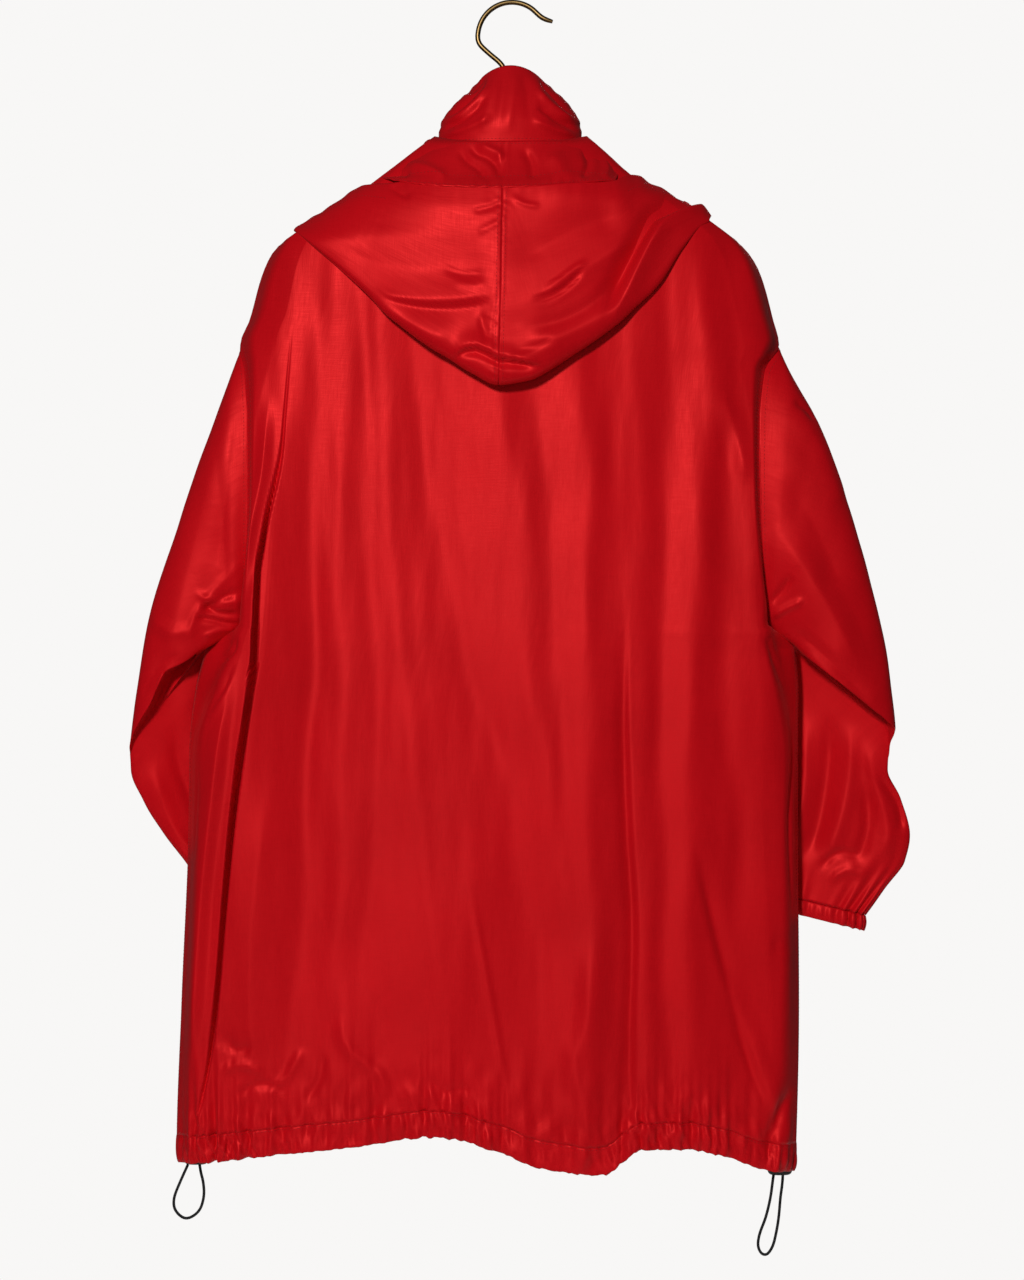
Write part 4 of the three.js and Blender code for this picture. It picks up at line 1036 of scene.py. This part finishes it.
sleeveGrids = {}
for hand, name, rows in ((-1, "left", leftSleeve), (1, "right", rightSleeve)):
    grid = sleeveGrid(hand, name, rows)
    sleeveGrids[name] = grid
    sleeve = clothPiece(f"sleeve{name.title()}", grid, ring=True, turn=-hand)
    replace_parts(sleeve, f"sleeve_{name}")
    cuff = clothPiece(f"cuff{name.title()}", cuffGrid(hand, grid[-1], cuffDrop[name]), ring=True,
                      turn=-hand, closed=True, wall=0)
    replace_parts(cuff, f"cuff_{name}")
print("sleeves ready")

# Collar
collarRings = table("sideZ left right backZ backY frontZ frontY", [
    [-104, -61, 58, -104, -38, -166, 36],
    [-92, -55, 53, -88, -34, -146, 31],
    [-79, -42, 42, -71, -26, -126, 26],
    [-64, -27, 25, -55, -16, -106, 21],
])
collarLook = {"columns": 220, "rows": 46, "gather": 0.8, "gatherPitch": 10}
collarFolds = [
    [1.4, 4, 7, 0.8, [(-13, -58), (-16, -76), (-22, -100), (-26, -118)]],
    [-1.4, 5, 5, 0.8, [(-7, -57), (-8, -80), (-12, -112)]],
    [1.2, 6, 5, 0.8, [(3, -56), (2, -76), (-2, -104), (-4, -120)]],
    [-1.4, 5, 7, 0.8, [(9, -58), (12, -80), (14, -108)]],
    [1.4, 7, 5, 0.8, [(15, -60), (22, -78), (29, -100), (31, -116)]],
    # the folds that fan out from the drawn-in flanks
    [-2.6, 3, 5, 0.8, [(-60, -100), (-46, -94), (-30, -78), (-20, -62)]],
    [2.2, 4, 4, 0.8, [(-60, -106), (-46, -100), (-30, -88), (-18, -72)]],
    [-2.6, 3, 5, 0.8, [(-62, -111), (-48, -106), (-34, -98), (-22, -86)]],
    [2.0, 4, 4, 0.8, [(-60, -116), (-44, -113), (-30, -108), (-16, -101)]],
    [-2.4, 3, 4, 0.8, [(-40, -80), (-30, -70), (-22, -60)]],
    [-2.6, 5, 3, 0.8, [(57, -100), (46, -92), (34, -80), (22, -64)]],
    [2.2, 4, 4, 0.8, [(57, -106), (45, -99), (32, -90), (20, -76)]],
    [-2.6, 5, 3, 0.8, [(58, -111), (46, -107), (33, -101), (20, -92)]],
    [2.0, 4, 4, 0.8, [(57, -116), (44, -114), (30, -110), (16, -104)]],
]


def collarSeam(angle):
    side, facing = np.sin(angle), np.cos(angle)
    x = neck["middle"] + neck["half"] * side
    behind = bodyPoint(-1, acrossAt(x, neck["backZ"]), neck["backZ"])
    z = lerp(neck["sideZ"], neck["frontZ"], np.clip(facing, 0, 1)) + 1.5
    ahead = bodyPoint(1, acrossAt(x, z), z)
    back = np.stack([x, behind[..., 1] + 0.4, 0 * x + neck["backZ"] - 1.5], axis=-1)
    front = np.stack([x - side * 1.2, ahead[..., 1] * 0.96, z - 1.5], axis=-1)
    return np.where((facing < 0)[:, None], back, front)


def collarRing(ring, angle):
    side, facing = np.sin(angle), np.cos(angle)
    middle = (ring["left"] + ring["right"]) / 2
    behind = facing < 0
    y = np.where(behind, -facing * ring["backY"], facing * ring["frontY"])
    end = np.where(behind, ring["backZ"], ring["frontZ"])
    z = lerp(ring["sideZ"], end, facing * facing)
    return np.stack([middle + side * (ring["right"] - middle), y, z], axis=-1)


def collarGrid():
    gap = 0.12
    angles = lerp(-gap, gap - 2 * np.pi, np.linspace(0, 1, collarLook["columns"]))
    rings = [collarSeam(angles)]
    for i in range(len(collarRings["left"])):
        rings.append(collarRing({key: value[i] for key, value in collarRings.items()}, angles))
    rings = np.array(rings)[::-1]
    gaps = np.linalg.norm(np.diff(rings, axis=0), axis=2).mean(axis=1)
    at = np.concatenate([[0], np.cumsum(gaps)])
    grid = monotone(at, rings)(np.linspace(0, at[-1], collarLook["rows"]))
    normals = gridNormals(grid, False, 1)
    x, z = grid[..., 0], grid[..., 2]
    behind = smooth(-np.cos(angles), -0.1, 0.25)[None]
    flank = smooth(np.abs(np.sin(angles)), 0.55, 0.95)[None]
    height = 0.6 * creaseHeight(collarFolds[:5], x, z) * behind
    height = height + 1.15 * creaseHeight(collarFolds[5:], x, z) * behind
    height += collarLook["gather"] * ripple(81, z, collarLook["gatherPitch"]) * flank * 0.6
    height += 0.8 * ripple(83, angles * 45, 16)[None] * (1 - behind)
    t = np.linspace(0, 1, collarLook["rows"])[:, None]
    height *= smooth(t, 0, 0.12) * smooth(1 - t, 0, 0.15)
    return grid + normals * height[..., None]


collarFace = collarGrid()
collar = clothPiece("funnelCollar", collarFace, wall=0.9)
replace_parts(collar, "collar")
print("collar ready")

# Hood and its neck band
bandStations = table("u topX topZ lowX lowZ topClear lowClear", [
    [0, -110, -145, -111, -151, 3.4, 5.4],
    [1, -90, -132, -93, -158, 3.4, 11.4],
    [2, -70, -117.5, -70, -163, 3.4, 15.4],
    [3, -48, -122.4, -46, -165, 1.6, 16.8],
    [4, -6, -123.4, -6, -166, 0.7, 17.4],
    [5, 38, -122.2, 34, -164, 1.6, 16.8],
    [6, 64, -117.5, 58, -161, 3.4, 15.4],
    [7, 78, -130, 72, -159, 3.4, 13.4],
    [8, 93, -141, 86, -157, 3.4, 10.4],
])
hoodStations = table("u topX topZ foldX foldZ lift topLift", [
    [0, -182, -190, -184, -195, 5, 2],
    [1, -155, -175, -162, -215, 8.5, 3],
    [2, -124, -157, -130, -245, 13, 4],
    [3, -93, -160, -97, -275, 17, 8],
    [4, -60, -165.6, -60, -302, 20.5, 12.6],
    [5, -30, -167.2, -34, -319, 22, 13.6],
    [6, -8, -167.8, -11, -329, 22.5, 14],
    [7, 20, -166.6, 14, -325.5, 22, 13.8],
    [8, 54, -163.6, 54, -301, 17, 12.2],
    [9, 84, -160.4, 92, -272, 12, 7],
    [10, 103, -149, 121, -246, 9, 4],
    [11, 130, -159, 142, -214, 7, 3],
    [12, 156, -172, 157, -195, 6, 3],
    [13, 167, -184, 165, -189, 6, 2],
])
hoodPath = table("stop down lift top", [
    [0, 0, 0, 1], [1, 0.12, 0.28, 0.7], [2, 0.3, 0.54, 0.3], [3, 0.5, 0.72, 0.1],
    [4, 0.74, 0.82, 0], [5, 0.93, 0.74, 0], [6, 0.985, 0.56, 0], [7, 1, 0.32, 0],
    [8, 0.97, 0.04, 0], [9, 0.85, 0, 0],
    [10, 0.58, 0, 0], [11, 0.34, 0, 0], [12, 0.2, 0, 0.03], [13, 0.1, 0, 0.07], [14, 0.04, 0, 0.1],
])
hoodLook = {"clear": 4, "cloth": 1.2, "seam": 6, "rows": 130, "columns": 112, "strip": 7.5}
hoodCreases = [
    # the level fold on the left, with a lit slope above it
    [1.2, 3, 16, 1.0, [(-120, -243), (-98, -256), (-70, -259), (-44, -259), (-10, -254)]],
    [-3.2, 26, 2.4, 0.9, [(-112, -256), (-78, -264), (-48, -265), (-12, -260)]],
    [-4.5, 38, 55, 1.0, [(-160, -200), (-124, -222), (-84, -232), (-40, -229), (-10, -225)]],
    [3.0, 22, 16, 0.9, [(-120, -256), (-92, -274), (-64, -288), (-44, -294)]],
    [-1.2, 3, 4, 0.9, [(-60, -232), (-42, -238), (-20, -238)]],
    [1.0, 3, 4, 0.9, [(-50, -244), (-34, -248), (-18, -246)]],
    # folds that run up to the right
    [-3.8, 22, 42, 1.0, [(-10, -230), (20, -219), (45, -204), (70, -193), (98, -183)]],
    [1.6, 9, 9, 1.0, [(2, -262), (24, -257), (40, -249), (58, -236), (80, -221), (108, -202)]],
    [-3.4, 2.6, 2.4, 0.8, [(14, -261), (30, -257.5), (44, -249), (60, -233)]],
    [1.8, 2.6, 3.0, 0.9, [(24, -253), (36, -246), (50, -235), (64, -226)]],
    [4.0, 20, 20, 0.9, [(4, -303), (30, -294), (55, -283), (78, -270), (96, -254)]],
    [-2.6, 9, 8, 1.0, [(6, -284), (40, -277), (66, -263), (84, -246)]],
    [-1.6, 3, 4, 0.9, [(-4, -303), (18, -299), (36, -292)]],
    [2.0, 26, 22, 0.7, [(16, -172), (60, -172), (104, -176)]],
    # the folded-over strip on the right
    [-8.0, 13, 2.4, 0.9, [(196, -158), (174, -166), (160, -170.5), (150, -173.5), (135, -180),
                          (120, -188), (114, -197), (102, -220), (86, -252), (74, -276)]],
    [5.0, 2.4, 13, 0.9, [(196, -163), (174, -171), (161, -175), (152, -178), (138, -184),
                         (125, -192), (119, -200), (107, -222), (92, -254), (80, -278)]],
    # the small lens at the tip
    [4.6, 2.2, 12, 0.9, [(-52, -309), (-41, -300), (-30, -298), (-21, -301.5), (-13, -306),
                         (2, -308.5), (26, -313)]],
    [-4.2, 6, 2.2, 0.7, [(-50, -312), (-41, -303), (-30, -301), (-20, -304.5), (-12, -309),
                         (4, -311.5), (26, -316)]],
    [-1.8, 4, 5, 0.9, [(-26, -268), (-24, -282), (-20, -296)]],
    [0.9, 3, 3, 0.9, [(-4, -188), (-14, -197), (-30, -204)]],
    [-1.8, 3, 4, 0.9, [(-102, -160), (-94, -168), (-84, -172)]],
    [-1.0, 2.4, 4, 0.9, [(-4, -175), (-16, -182), (-34, -186)]],
    [1.0, 3, 3, 0.9, [(-2, -173), (10, -180), (24, -182)]],
]
bandCreases = [
    [-2.6, 3, 4, 0.6, [(-108, -148), (-98, -149), (-84, -152)]],
    [2.4, 5, 5, 0.5, [(-92, -140), (-72, -146), (-52, -158)]],
    [-2.8, 3.4, 4.5, 0.6, [(-38, -125), (-29, -134), (-20, -138), (-12, -147), (-9, -160)]],
    [2.6, 5, 4, 0.6, [(-30, -124), (-20, -130), (-12, -134), (-7, -142)]],
    [-2.2, 4, 4, 0.6, [(-46, -128), (-38, -140), (-26, -150), (-20, -162)]],
    [-2.4, 5, 4, 0.5, [(8, -128), (16, -142), (18, -160)]],
    [2.6, 9, 9, 0.3, [(30, -132), (40, -146), (44, -160)]],
    [-2.4, 4, 5, 0.5, [(60, -126), (64, -142), (58, -158)]],
    [2.0, 5, 5, 0.5, [(76, -132), (80, -146), (76, -157)]],
]


def overBack(x, z, clear):  # the back's form grown by clear
    spread = clear * lerp(2, 1, smooth(-z, 190, 289))
    swell = (body["back"](z) + clear) * swellAt(acrossAt(x, z, spread), 0.5)
    return np.stack([x, -(0.3 + swell), z], axis=-1)


band = curves(bandStations, "u")
hood = curves(hoodStations, "u")
path = curves(hoodPath, "stop")
seamX = monotone([-120, -168, -250, -285, -329], [-6, -8, -10.5, -15, -11])  # centre seam, by z


def bandFace():
    u = np.linspace(0, 8, 200)[None]
    v = np.linspace(0, 1, 34)[:, None]
    x = lerp(band["topX"](u), band["lowX"](u), v)
    z = lerp(band["topZ"](u), band["lowZ"](u), v)
    clear = hoodLook["cloth"] + lerp(band["topClear"](u), band["lowClear"](u), v * v)
    clear = clear + 0.9 * smooth(v, 0.75, 0.9)
    grid = overBack(x, z, clear)
    normals = gridNormals(grid, False, 1)
    height = creaseHeight(bandCreases, x, z) + 0.12 * waver(91, x, z, 30, 40)
    height += 0.45 * ripple(92, x, 8.5) * np.exp(-((1 - v) / 0.22) ** 2)
    seam = np.abs(x - seamX(z))
    height -= 0.7 * np.exp(-(seam / 1.3) ** 2) - 0.35 * (1 - smooth(seam, 3.4, 4.6))
    ends = smooth(u, 0, 0.25) * smooth(8 - u, 0, 0.25)
    return grid + normals * (height * (0.3 + 0.7 * ends))[..., None]


def hoodFace(low, high, columns):
    u = np.linspace(low, high, columns)[None]
    stop = np.concatenate([np.linspace(0, 8, hoodLook["rows"] - 30),
                           np.linspace(8, 14, 31)[1:]])[:, None]
    down = path["down"](stop)
    top, fold = (hood["topX"](u), hood["topZ"](u)), (hood["foldX"](u), hood["foldZ"](u))
    x, z = lerp(top[0], fold[0], down), lerp(top[1], fold[1], down)
    lift = path["lift"](stop) * hood["lift"](u) + path["top"](stop) * hood["topLift"](u)
    outer = 1 - smooth(stop, 6.4, 8)
    # the upper edge is the face opening's rim beside the band: wavy where its elastic draws it up
    rim = smooth(-u, -3.2, -1.6) + smooth(u, 9.8, 10.6)
    wave = ripple(95, x, 17) * rim * (1 - smooth(stop, 0, 1.6)) * (0.1 + 0.3 * smooth(u, 7, 9))
    under = smooth(u, 2.6, 3.2) * smooth(-u, -9.9, -9.3) * (1 - smooth(stop, 0, 0.5))
    grid = overBack(x, z + 1.4 * wave + 2.6 * under, hoodLook["clear"] + hoodLook["cloth"] + lift)
    normals = gridNormals(grid, False, 1)
    height = creaseHeight(hoodCreases, x, z) + 0.15 * waver(97, x, z, 60, 50)
    seam = np.abs(x - seamX(z))
    puckered = 0.7 * ripple(99, z + 0.5 * x, 6.0) * (0.4 + 0.6 * ripple(100, z, 45))
    raised = 0.2 * (1 - smooth(seam, hoodLook["strip"] / 2, 4.6))
    height += puckered * np.exp(-(seam / 6) ** 2)
    height -= 0.35 * np.exp(-(seam / 1.3) ** 2) - raised
    height += 1.6 * wave
    height += 0.2 * ripple(101, x, 11) * np.exp(-((z - top[1]) / 9) ** 2)
    return grid + normals * (height * outer)[..., None]


bandGrid = bandFace()
bandPiece = clothPiece("hoodBand", bandGrid, wall=0.9)
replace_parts(bandPiece, "hood_band")
hoodGrids = {}
for name, low, high in (("left", 0, hoodLook["seam"]), ("right", hoodLook["seam"], 13)):
    hoodGrids[name] = hoodFace(low, high, hoodLook["columns"] + (12 if name == "right" else 0))
    half = clothPiece(f"hood{name.title()}", hoodGrids[name], crossCut=True)
    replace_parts(half, f"hood_{name}")
print("hood ready")

# Seam stitching
def seamRows(grid):
    return np.arange(0, grid.shape[0] - 1, 0.5)


def columnAt(grid, row, away):  # column whose arc length from the first one is away, on each row
    line = grid[np.clip(row.astype(int), 0, grid.shape[0] - 1)]
    run = np.concatenate([np.zeros((len(row), 1)),
                          np.cumsum(np.linalg.norm(np.diff(line, axis=1), axis=2), axis=1)], axis=1)
    return np.array([np.interp(away, run[k], np.arange(run.shape[1])) for k in range(len(row))])


def stitchSeams():
    rows = seamRows(backGrid)
    along = rows[(panelRows[rows.astype(int)] < armhole["top"] + 2)]
    mirrored, mirroredNormals = backGrid[:, ::-1], backNormals[:, ::-1]
    for away in (1.8, 7.6):  # double-needle seams along the armholes and down the sides
        stitchLine(backGrid, backNormals, along, columnAt(backGrid, along, away))
        stitchLine(mirrored, mirroredNormals, along, columnAt(mirrored, along, away))
    across = np.arange(0, backGrid.shape[1] - 1, 0.5)
    hemNormals = gridNormals(hemBackGrid, False, 1)
    stitchLine(hemBackGrid, hemNormals, 0.9, across)
    for name, hand in (("left", -1), ("right", 1)):
        grid = sleeveGrids[name]
        normals = gridNormals(grid, True, -hand)
        columns = np.arange(0, grid.shape[1] - 1, 0.5)
        stitchLine(grid, normals, 2.2, columns)
        stitchLine(grid, normals, grid.shape[0] - 1.4, columns)
    normals = gridNormals(bandGrid, False, 1)
    columns = np.arange(0, bandGrid.shape[1] - 1, 0.5)
    for row in (1.6, 24.5, 31.5):
        stitchLine(bandGrid, normals, row, columns)
    outer = np.arange(2, 74, 0.5)
    left, right = hoodGrids["left"][:, ::-1], hoodGrids["right"]
    stitchLine(left, -gridNormals(left, False, 1), outer, columnAt(left, outer, 3.4))
    stitchLine(right, gridNormals(right, False, 1), outer, columnAt(right, outer, 3.4))
    for low, high, grid in ((0, 50, hoodGrids["left"]), (62, 122, hoodGrids["right"])):
        columns = np.arange(low, high, 0.5)
        stitchLine(grid, gridNormals(grid, False, 1), 13.0, columns)
    normals = gridNormals(collarFace, False, 1)
    columns = np.arange(0, collarFace.shape[1] - 1, 0.5)
    stitchLine(collarFace, normals, collarFace.shape[0] - 3.2, columns)
    drawStitches()


stitchSeams()

# Zip
zipLook = {
    "top": -190, "chainTop": -217, "pitch": 2.1, "toothWide": 3.1,
    "toothDeep": 2.7, "toothTall": 1.45,
    "tapeFrom": 2.2, "tapeTo": 15, "tapeBack": 3.1,
}


def frontAt(x, z):
    return bodyPoint(1, acrossAt(x, z), z)


def makeZip():
    look = zipLook
    rows = np.linspace(-195, hem["level"], 230)
    for hand, name in ((-1, "Left"), (1, "Right")):
        reach = np.linspace(look["tapeTo"], look["tapeFrom"], 9)
        x = centreFront(rows)[:, None] + hand * reach[None]
        grid = frontAt(x, np.repeat(rows[:, None], 9, 1))
        grid[..., 1] -= look["tapeBack"] + 0.15 * np.cos(np.arange(9) * np.pi)[None]
        tape = clothPiece(f"zipTape{name}", grid, turn=hand, wall=0.7,
                          material=zipTape)
        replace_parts(tape, f"zip_tape_{name.lower()}")
    # each tooth: a neck clamped on its tape and a wider head that meets the other side's
    outline = np.array([[-0.9, -0.32], [0.35, -0.32], [0.55, -0.5], [1.0, -0.36], [1.0, 0.36],
                        [0.55, 0.5], [0.35, 0.32], [-0.9, 0.32]])
    levels = np.arange(look["chainTop"], hem["level"] + 4, -look["pitch"] / 2)
    vertices, faces = [], []
    for k, z in enumerate(levels):
        hand = -1 if k % 2 else 1
        seat = frontAt(centreFront(z), z)
        base = len(vertices)
        for depth, size in ((-0.5, 0.82), (-0.32, 1.0), (0.32, 1.0), (0.5, 0.82)):
            for dx, dz in outline:
                vertices.append((
                    seat[0] - hand * (dx * size * look["toothWide"] / 2 - 0.75),
                    seat[1] - 1.75 + depth * look["toothDeep"],
                    seat[2] + dz * size * look["toothTall"]))
        for ring in range(3):
            for i in range(8):
                j = (i + 1) % 8
                a, b = base + ring * 8, base + ring * 8 + 8
                faces.append((a + i, a + j, b + j, b + i))
        faces.append(tuple(base + i for i in range(7, -1, -1)))
        faces.append(tuple(base + 24 + i for i in range(8)))
    teeth = addMesh("zipTeeth", np.array(vertices) * mm, faces, acetal, smoothed=False)
    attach(teeth, "parka")
    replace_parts(teeth, "zip_chain")
    print(f"{len(levels)} zip teeth")


makeZip()


def softened(node, name, material, body, edge, levels=0):
    # A hard piece with its moulded or rubbed edges: the frame's own shape, bevelled.
    mesh = bpy.data.objects[node].data.copy()
    mesh.name = name
    mesh.materials.clear()
    mesh.materials.append(material)
    piece = addObject(name, mesh)
    if edge:
        bevel = piece.modifiers.new("edges", "BEVEL")
        bevel.width = edge * mm
        bevel.segments = 2
        bevel.limit_method = "ANGLE"
        bevel.angle_limit = math.radians(35)
    if levels:
        finer = piece.modifiers.new("finer", "SUBSURF")
        finer.levels = finer.render_levels = levels
    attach(piece, body)
    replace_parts(piece, node)
    return piece


softened("zip_slider", "zipSlider", acetal, "parka", 0.25)
softened("zip_pull", "zipPull", acetal, "pull", 0.2)

# Cord stoppers
stopperLook = {"width": 21.5, "height": 13, "depth": 9}
stopperSeats = {"left": (-270, 12.5, -981.5), "right": (229, 12.5, -990.5)}


def makeStopper(name, seat):
    # A pressed oval bead: full in the middle, with a shallow waist line and dished ends.
    look = stopperLook
    # from the middle groove to one end; the other half is its mirror
    half = [(0.02, 0.972), (0.05, 1.0), (0.14, 0.995), (0.28, 0.965), (0.40, 0.89), (0.47, 0.78),
            (0.5, 0.66), (0.47, 0.52), (0.44, 0.30)]
    profile = [(-level, share) for level, share in reversed(half)] + half
    angle = np.arange(48) * 2 * np.pi / 48
    rings = [np.stack([np.cos(angle) * share * look["width"] / 2,
                       np.sin(angle) * share * look["depth"] / 2,
                       0 * angle + level * look["height"]], axis=1) for level, share in profile]
    vertices = np.concatenate(rings) + np.array(seat)
    faces = []
    for i in range(len(profile) - 1):
        for j in range(48):
            k = (j + 1) % 48
            faces.append((i * 48 + j, i * 48 + k, i * 48 + 48 + k, i * 48 + 48 + j))
    top = (len(profile) - 1) * 48
    faces.append(tuple(range(47, -1, -1)))
    faces.append(tuple(top + j for j in range(48)))
    piece = addMesh(name, vertices * mm, faces, acetal)
    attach(piece, "parka")
    return piece


for side, seat in stopperSeats.items():
    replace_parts(makeStopper(f"cordStopper{side.title()}", seat), f"cord_stopper_{side}")
print("hardware ready")

# Hanger
hangerLook = {"wire": 4.3, "hookRadius": 29, "points": 46}


def makeHook():
    look = hangerLook
    radius = look["hookRadius"]
    centre = -radius + look["wire"] / 2
    bow = [[radius * math.cos(a), centre + radius * math.sin(a)]
           for a in np.radians(np.linspace(190, 58, 7))]
    points = [[-3, -124], [-3, -90], [-3.6, -66], [-8, -52], [-20, -41],
              *bow, [26, -11.5], [34.5, -14.5]]
    line, _ = throughPoints([[x, 0, z] for x, z in points], look["points"])
    piece, data = addTube("hangerHook", line, look["wire"], 7, 5, agedBrass)
    data.use_fill_caps = True
    for point, share in zip(list(data.splines[0].points)[-3:], (1.0, 0.96, 0.72)):
        point.radius = share  # the cut end, rounded over
    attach(piece, "parka")
    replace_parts(piece, "hanger_hook")


makeHook()
softened("hanger_nut", "hangerNut", agedBrass, "parka", 0.3)
bar = softened("hanger_bar", "hangerBar", wood, "parka", 0, 2)
bar.data.polygons.foreach_set("use_smooth", [True] * len(bar.data.polygons))
print("hanger ready")

# Floor, light
studio = {
    "floorZ": -1.30, "floor": "e9e7e3", "background": "f8f7f6", "ambient": 0.03,
    "key": {"at": (-0.72, -3.0, 0.52), "size": (0.30, 0.36), "power": 67},
    "low": {"at": (-0.66, -3.0, -0.70), "size": (0.6, 0.8), "power": 3.5},
    "fill": {"at": (0.7, -3.0, -0.4), "size": (1.8, 1.8), "power": 4.5},
    "back": {"at": (0.4, 2.4, 0.6), "size": (1.6, 1.6), "power": 46},
}


def makeFloor():
    mesh = bpy.data.meshes.new("floor")
    count, reach = 64, 0.84
    edge = [(reach * math.cos(i * math.tau / count), reach * math.sin(i * math.tau / count),
             studio["floorZ"]) for i in range(count)]
    mesh.from_pydata(edge, [], [tuple(range(count))])
    floor = addObject("floor", mesh)
    mesh.materials.append(makePlain("mattPaperFloor", studio["floor"], 0.9, 40, shift=0.97))


def areaLight(name, facts):
    light = bpy.data.lights.new(name, "AREA")
    light.shape = "RECTANGLE"
    light.size, light.size_y = facts["size"]
    light.energy = facts["power"]
    holder = addObject(name, light)
    holder.location = facts["at"]
    aim = Vector((0, 0, -0.52)) - holder.location
    holder.rotation_euler = aim.to_track_quat("-Z", "Y").to_euler()
    holder.visible_glossy = name != "back"  # no pale gloss round the outline


def makeWorld():
    world = bpy.data.worlds.new("studio")
    world.use_nodes = True
    tree = world.node_tree
    tree.nodes.clear()
    seen = addNode(tree, "ShaderNodeBackground",
                   values={"Color": fromHex(studio["background"]), "Strength": 1.0})
    lit = addNode(tree, "ShaderNodeBackground",
                  values={"Color": (1, 1, 1, 1), "Strength": studio["ambient"]})
    ray = addNode(tree, "ShaderNodeLightPath")
    mix = addNode(tree, "ShaderNodeMixShader", links={
        0: ray.outputs["Is Camera Ray"], 1: lit.outputs["Background"],
        2: seen.outputs["Background"]})
    addNode(tree, "ShaderNodeOutputWorld", links={"Surface": mix.outputs["Shader"]})
    bpy.context.scene.world = world


makeFloor()
for name in ("key", "low", "fill", "back"):
    areaLight(name, studio[name])
makeWorld()
bpy.context.scene.view_settings.view_transform = "Standard"
print("studio ready")
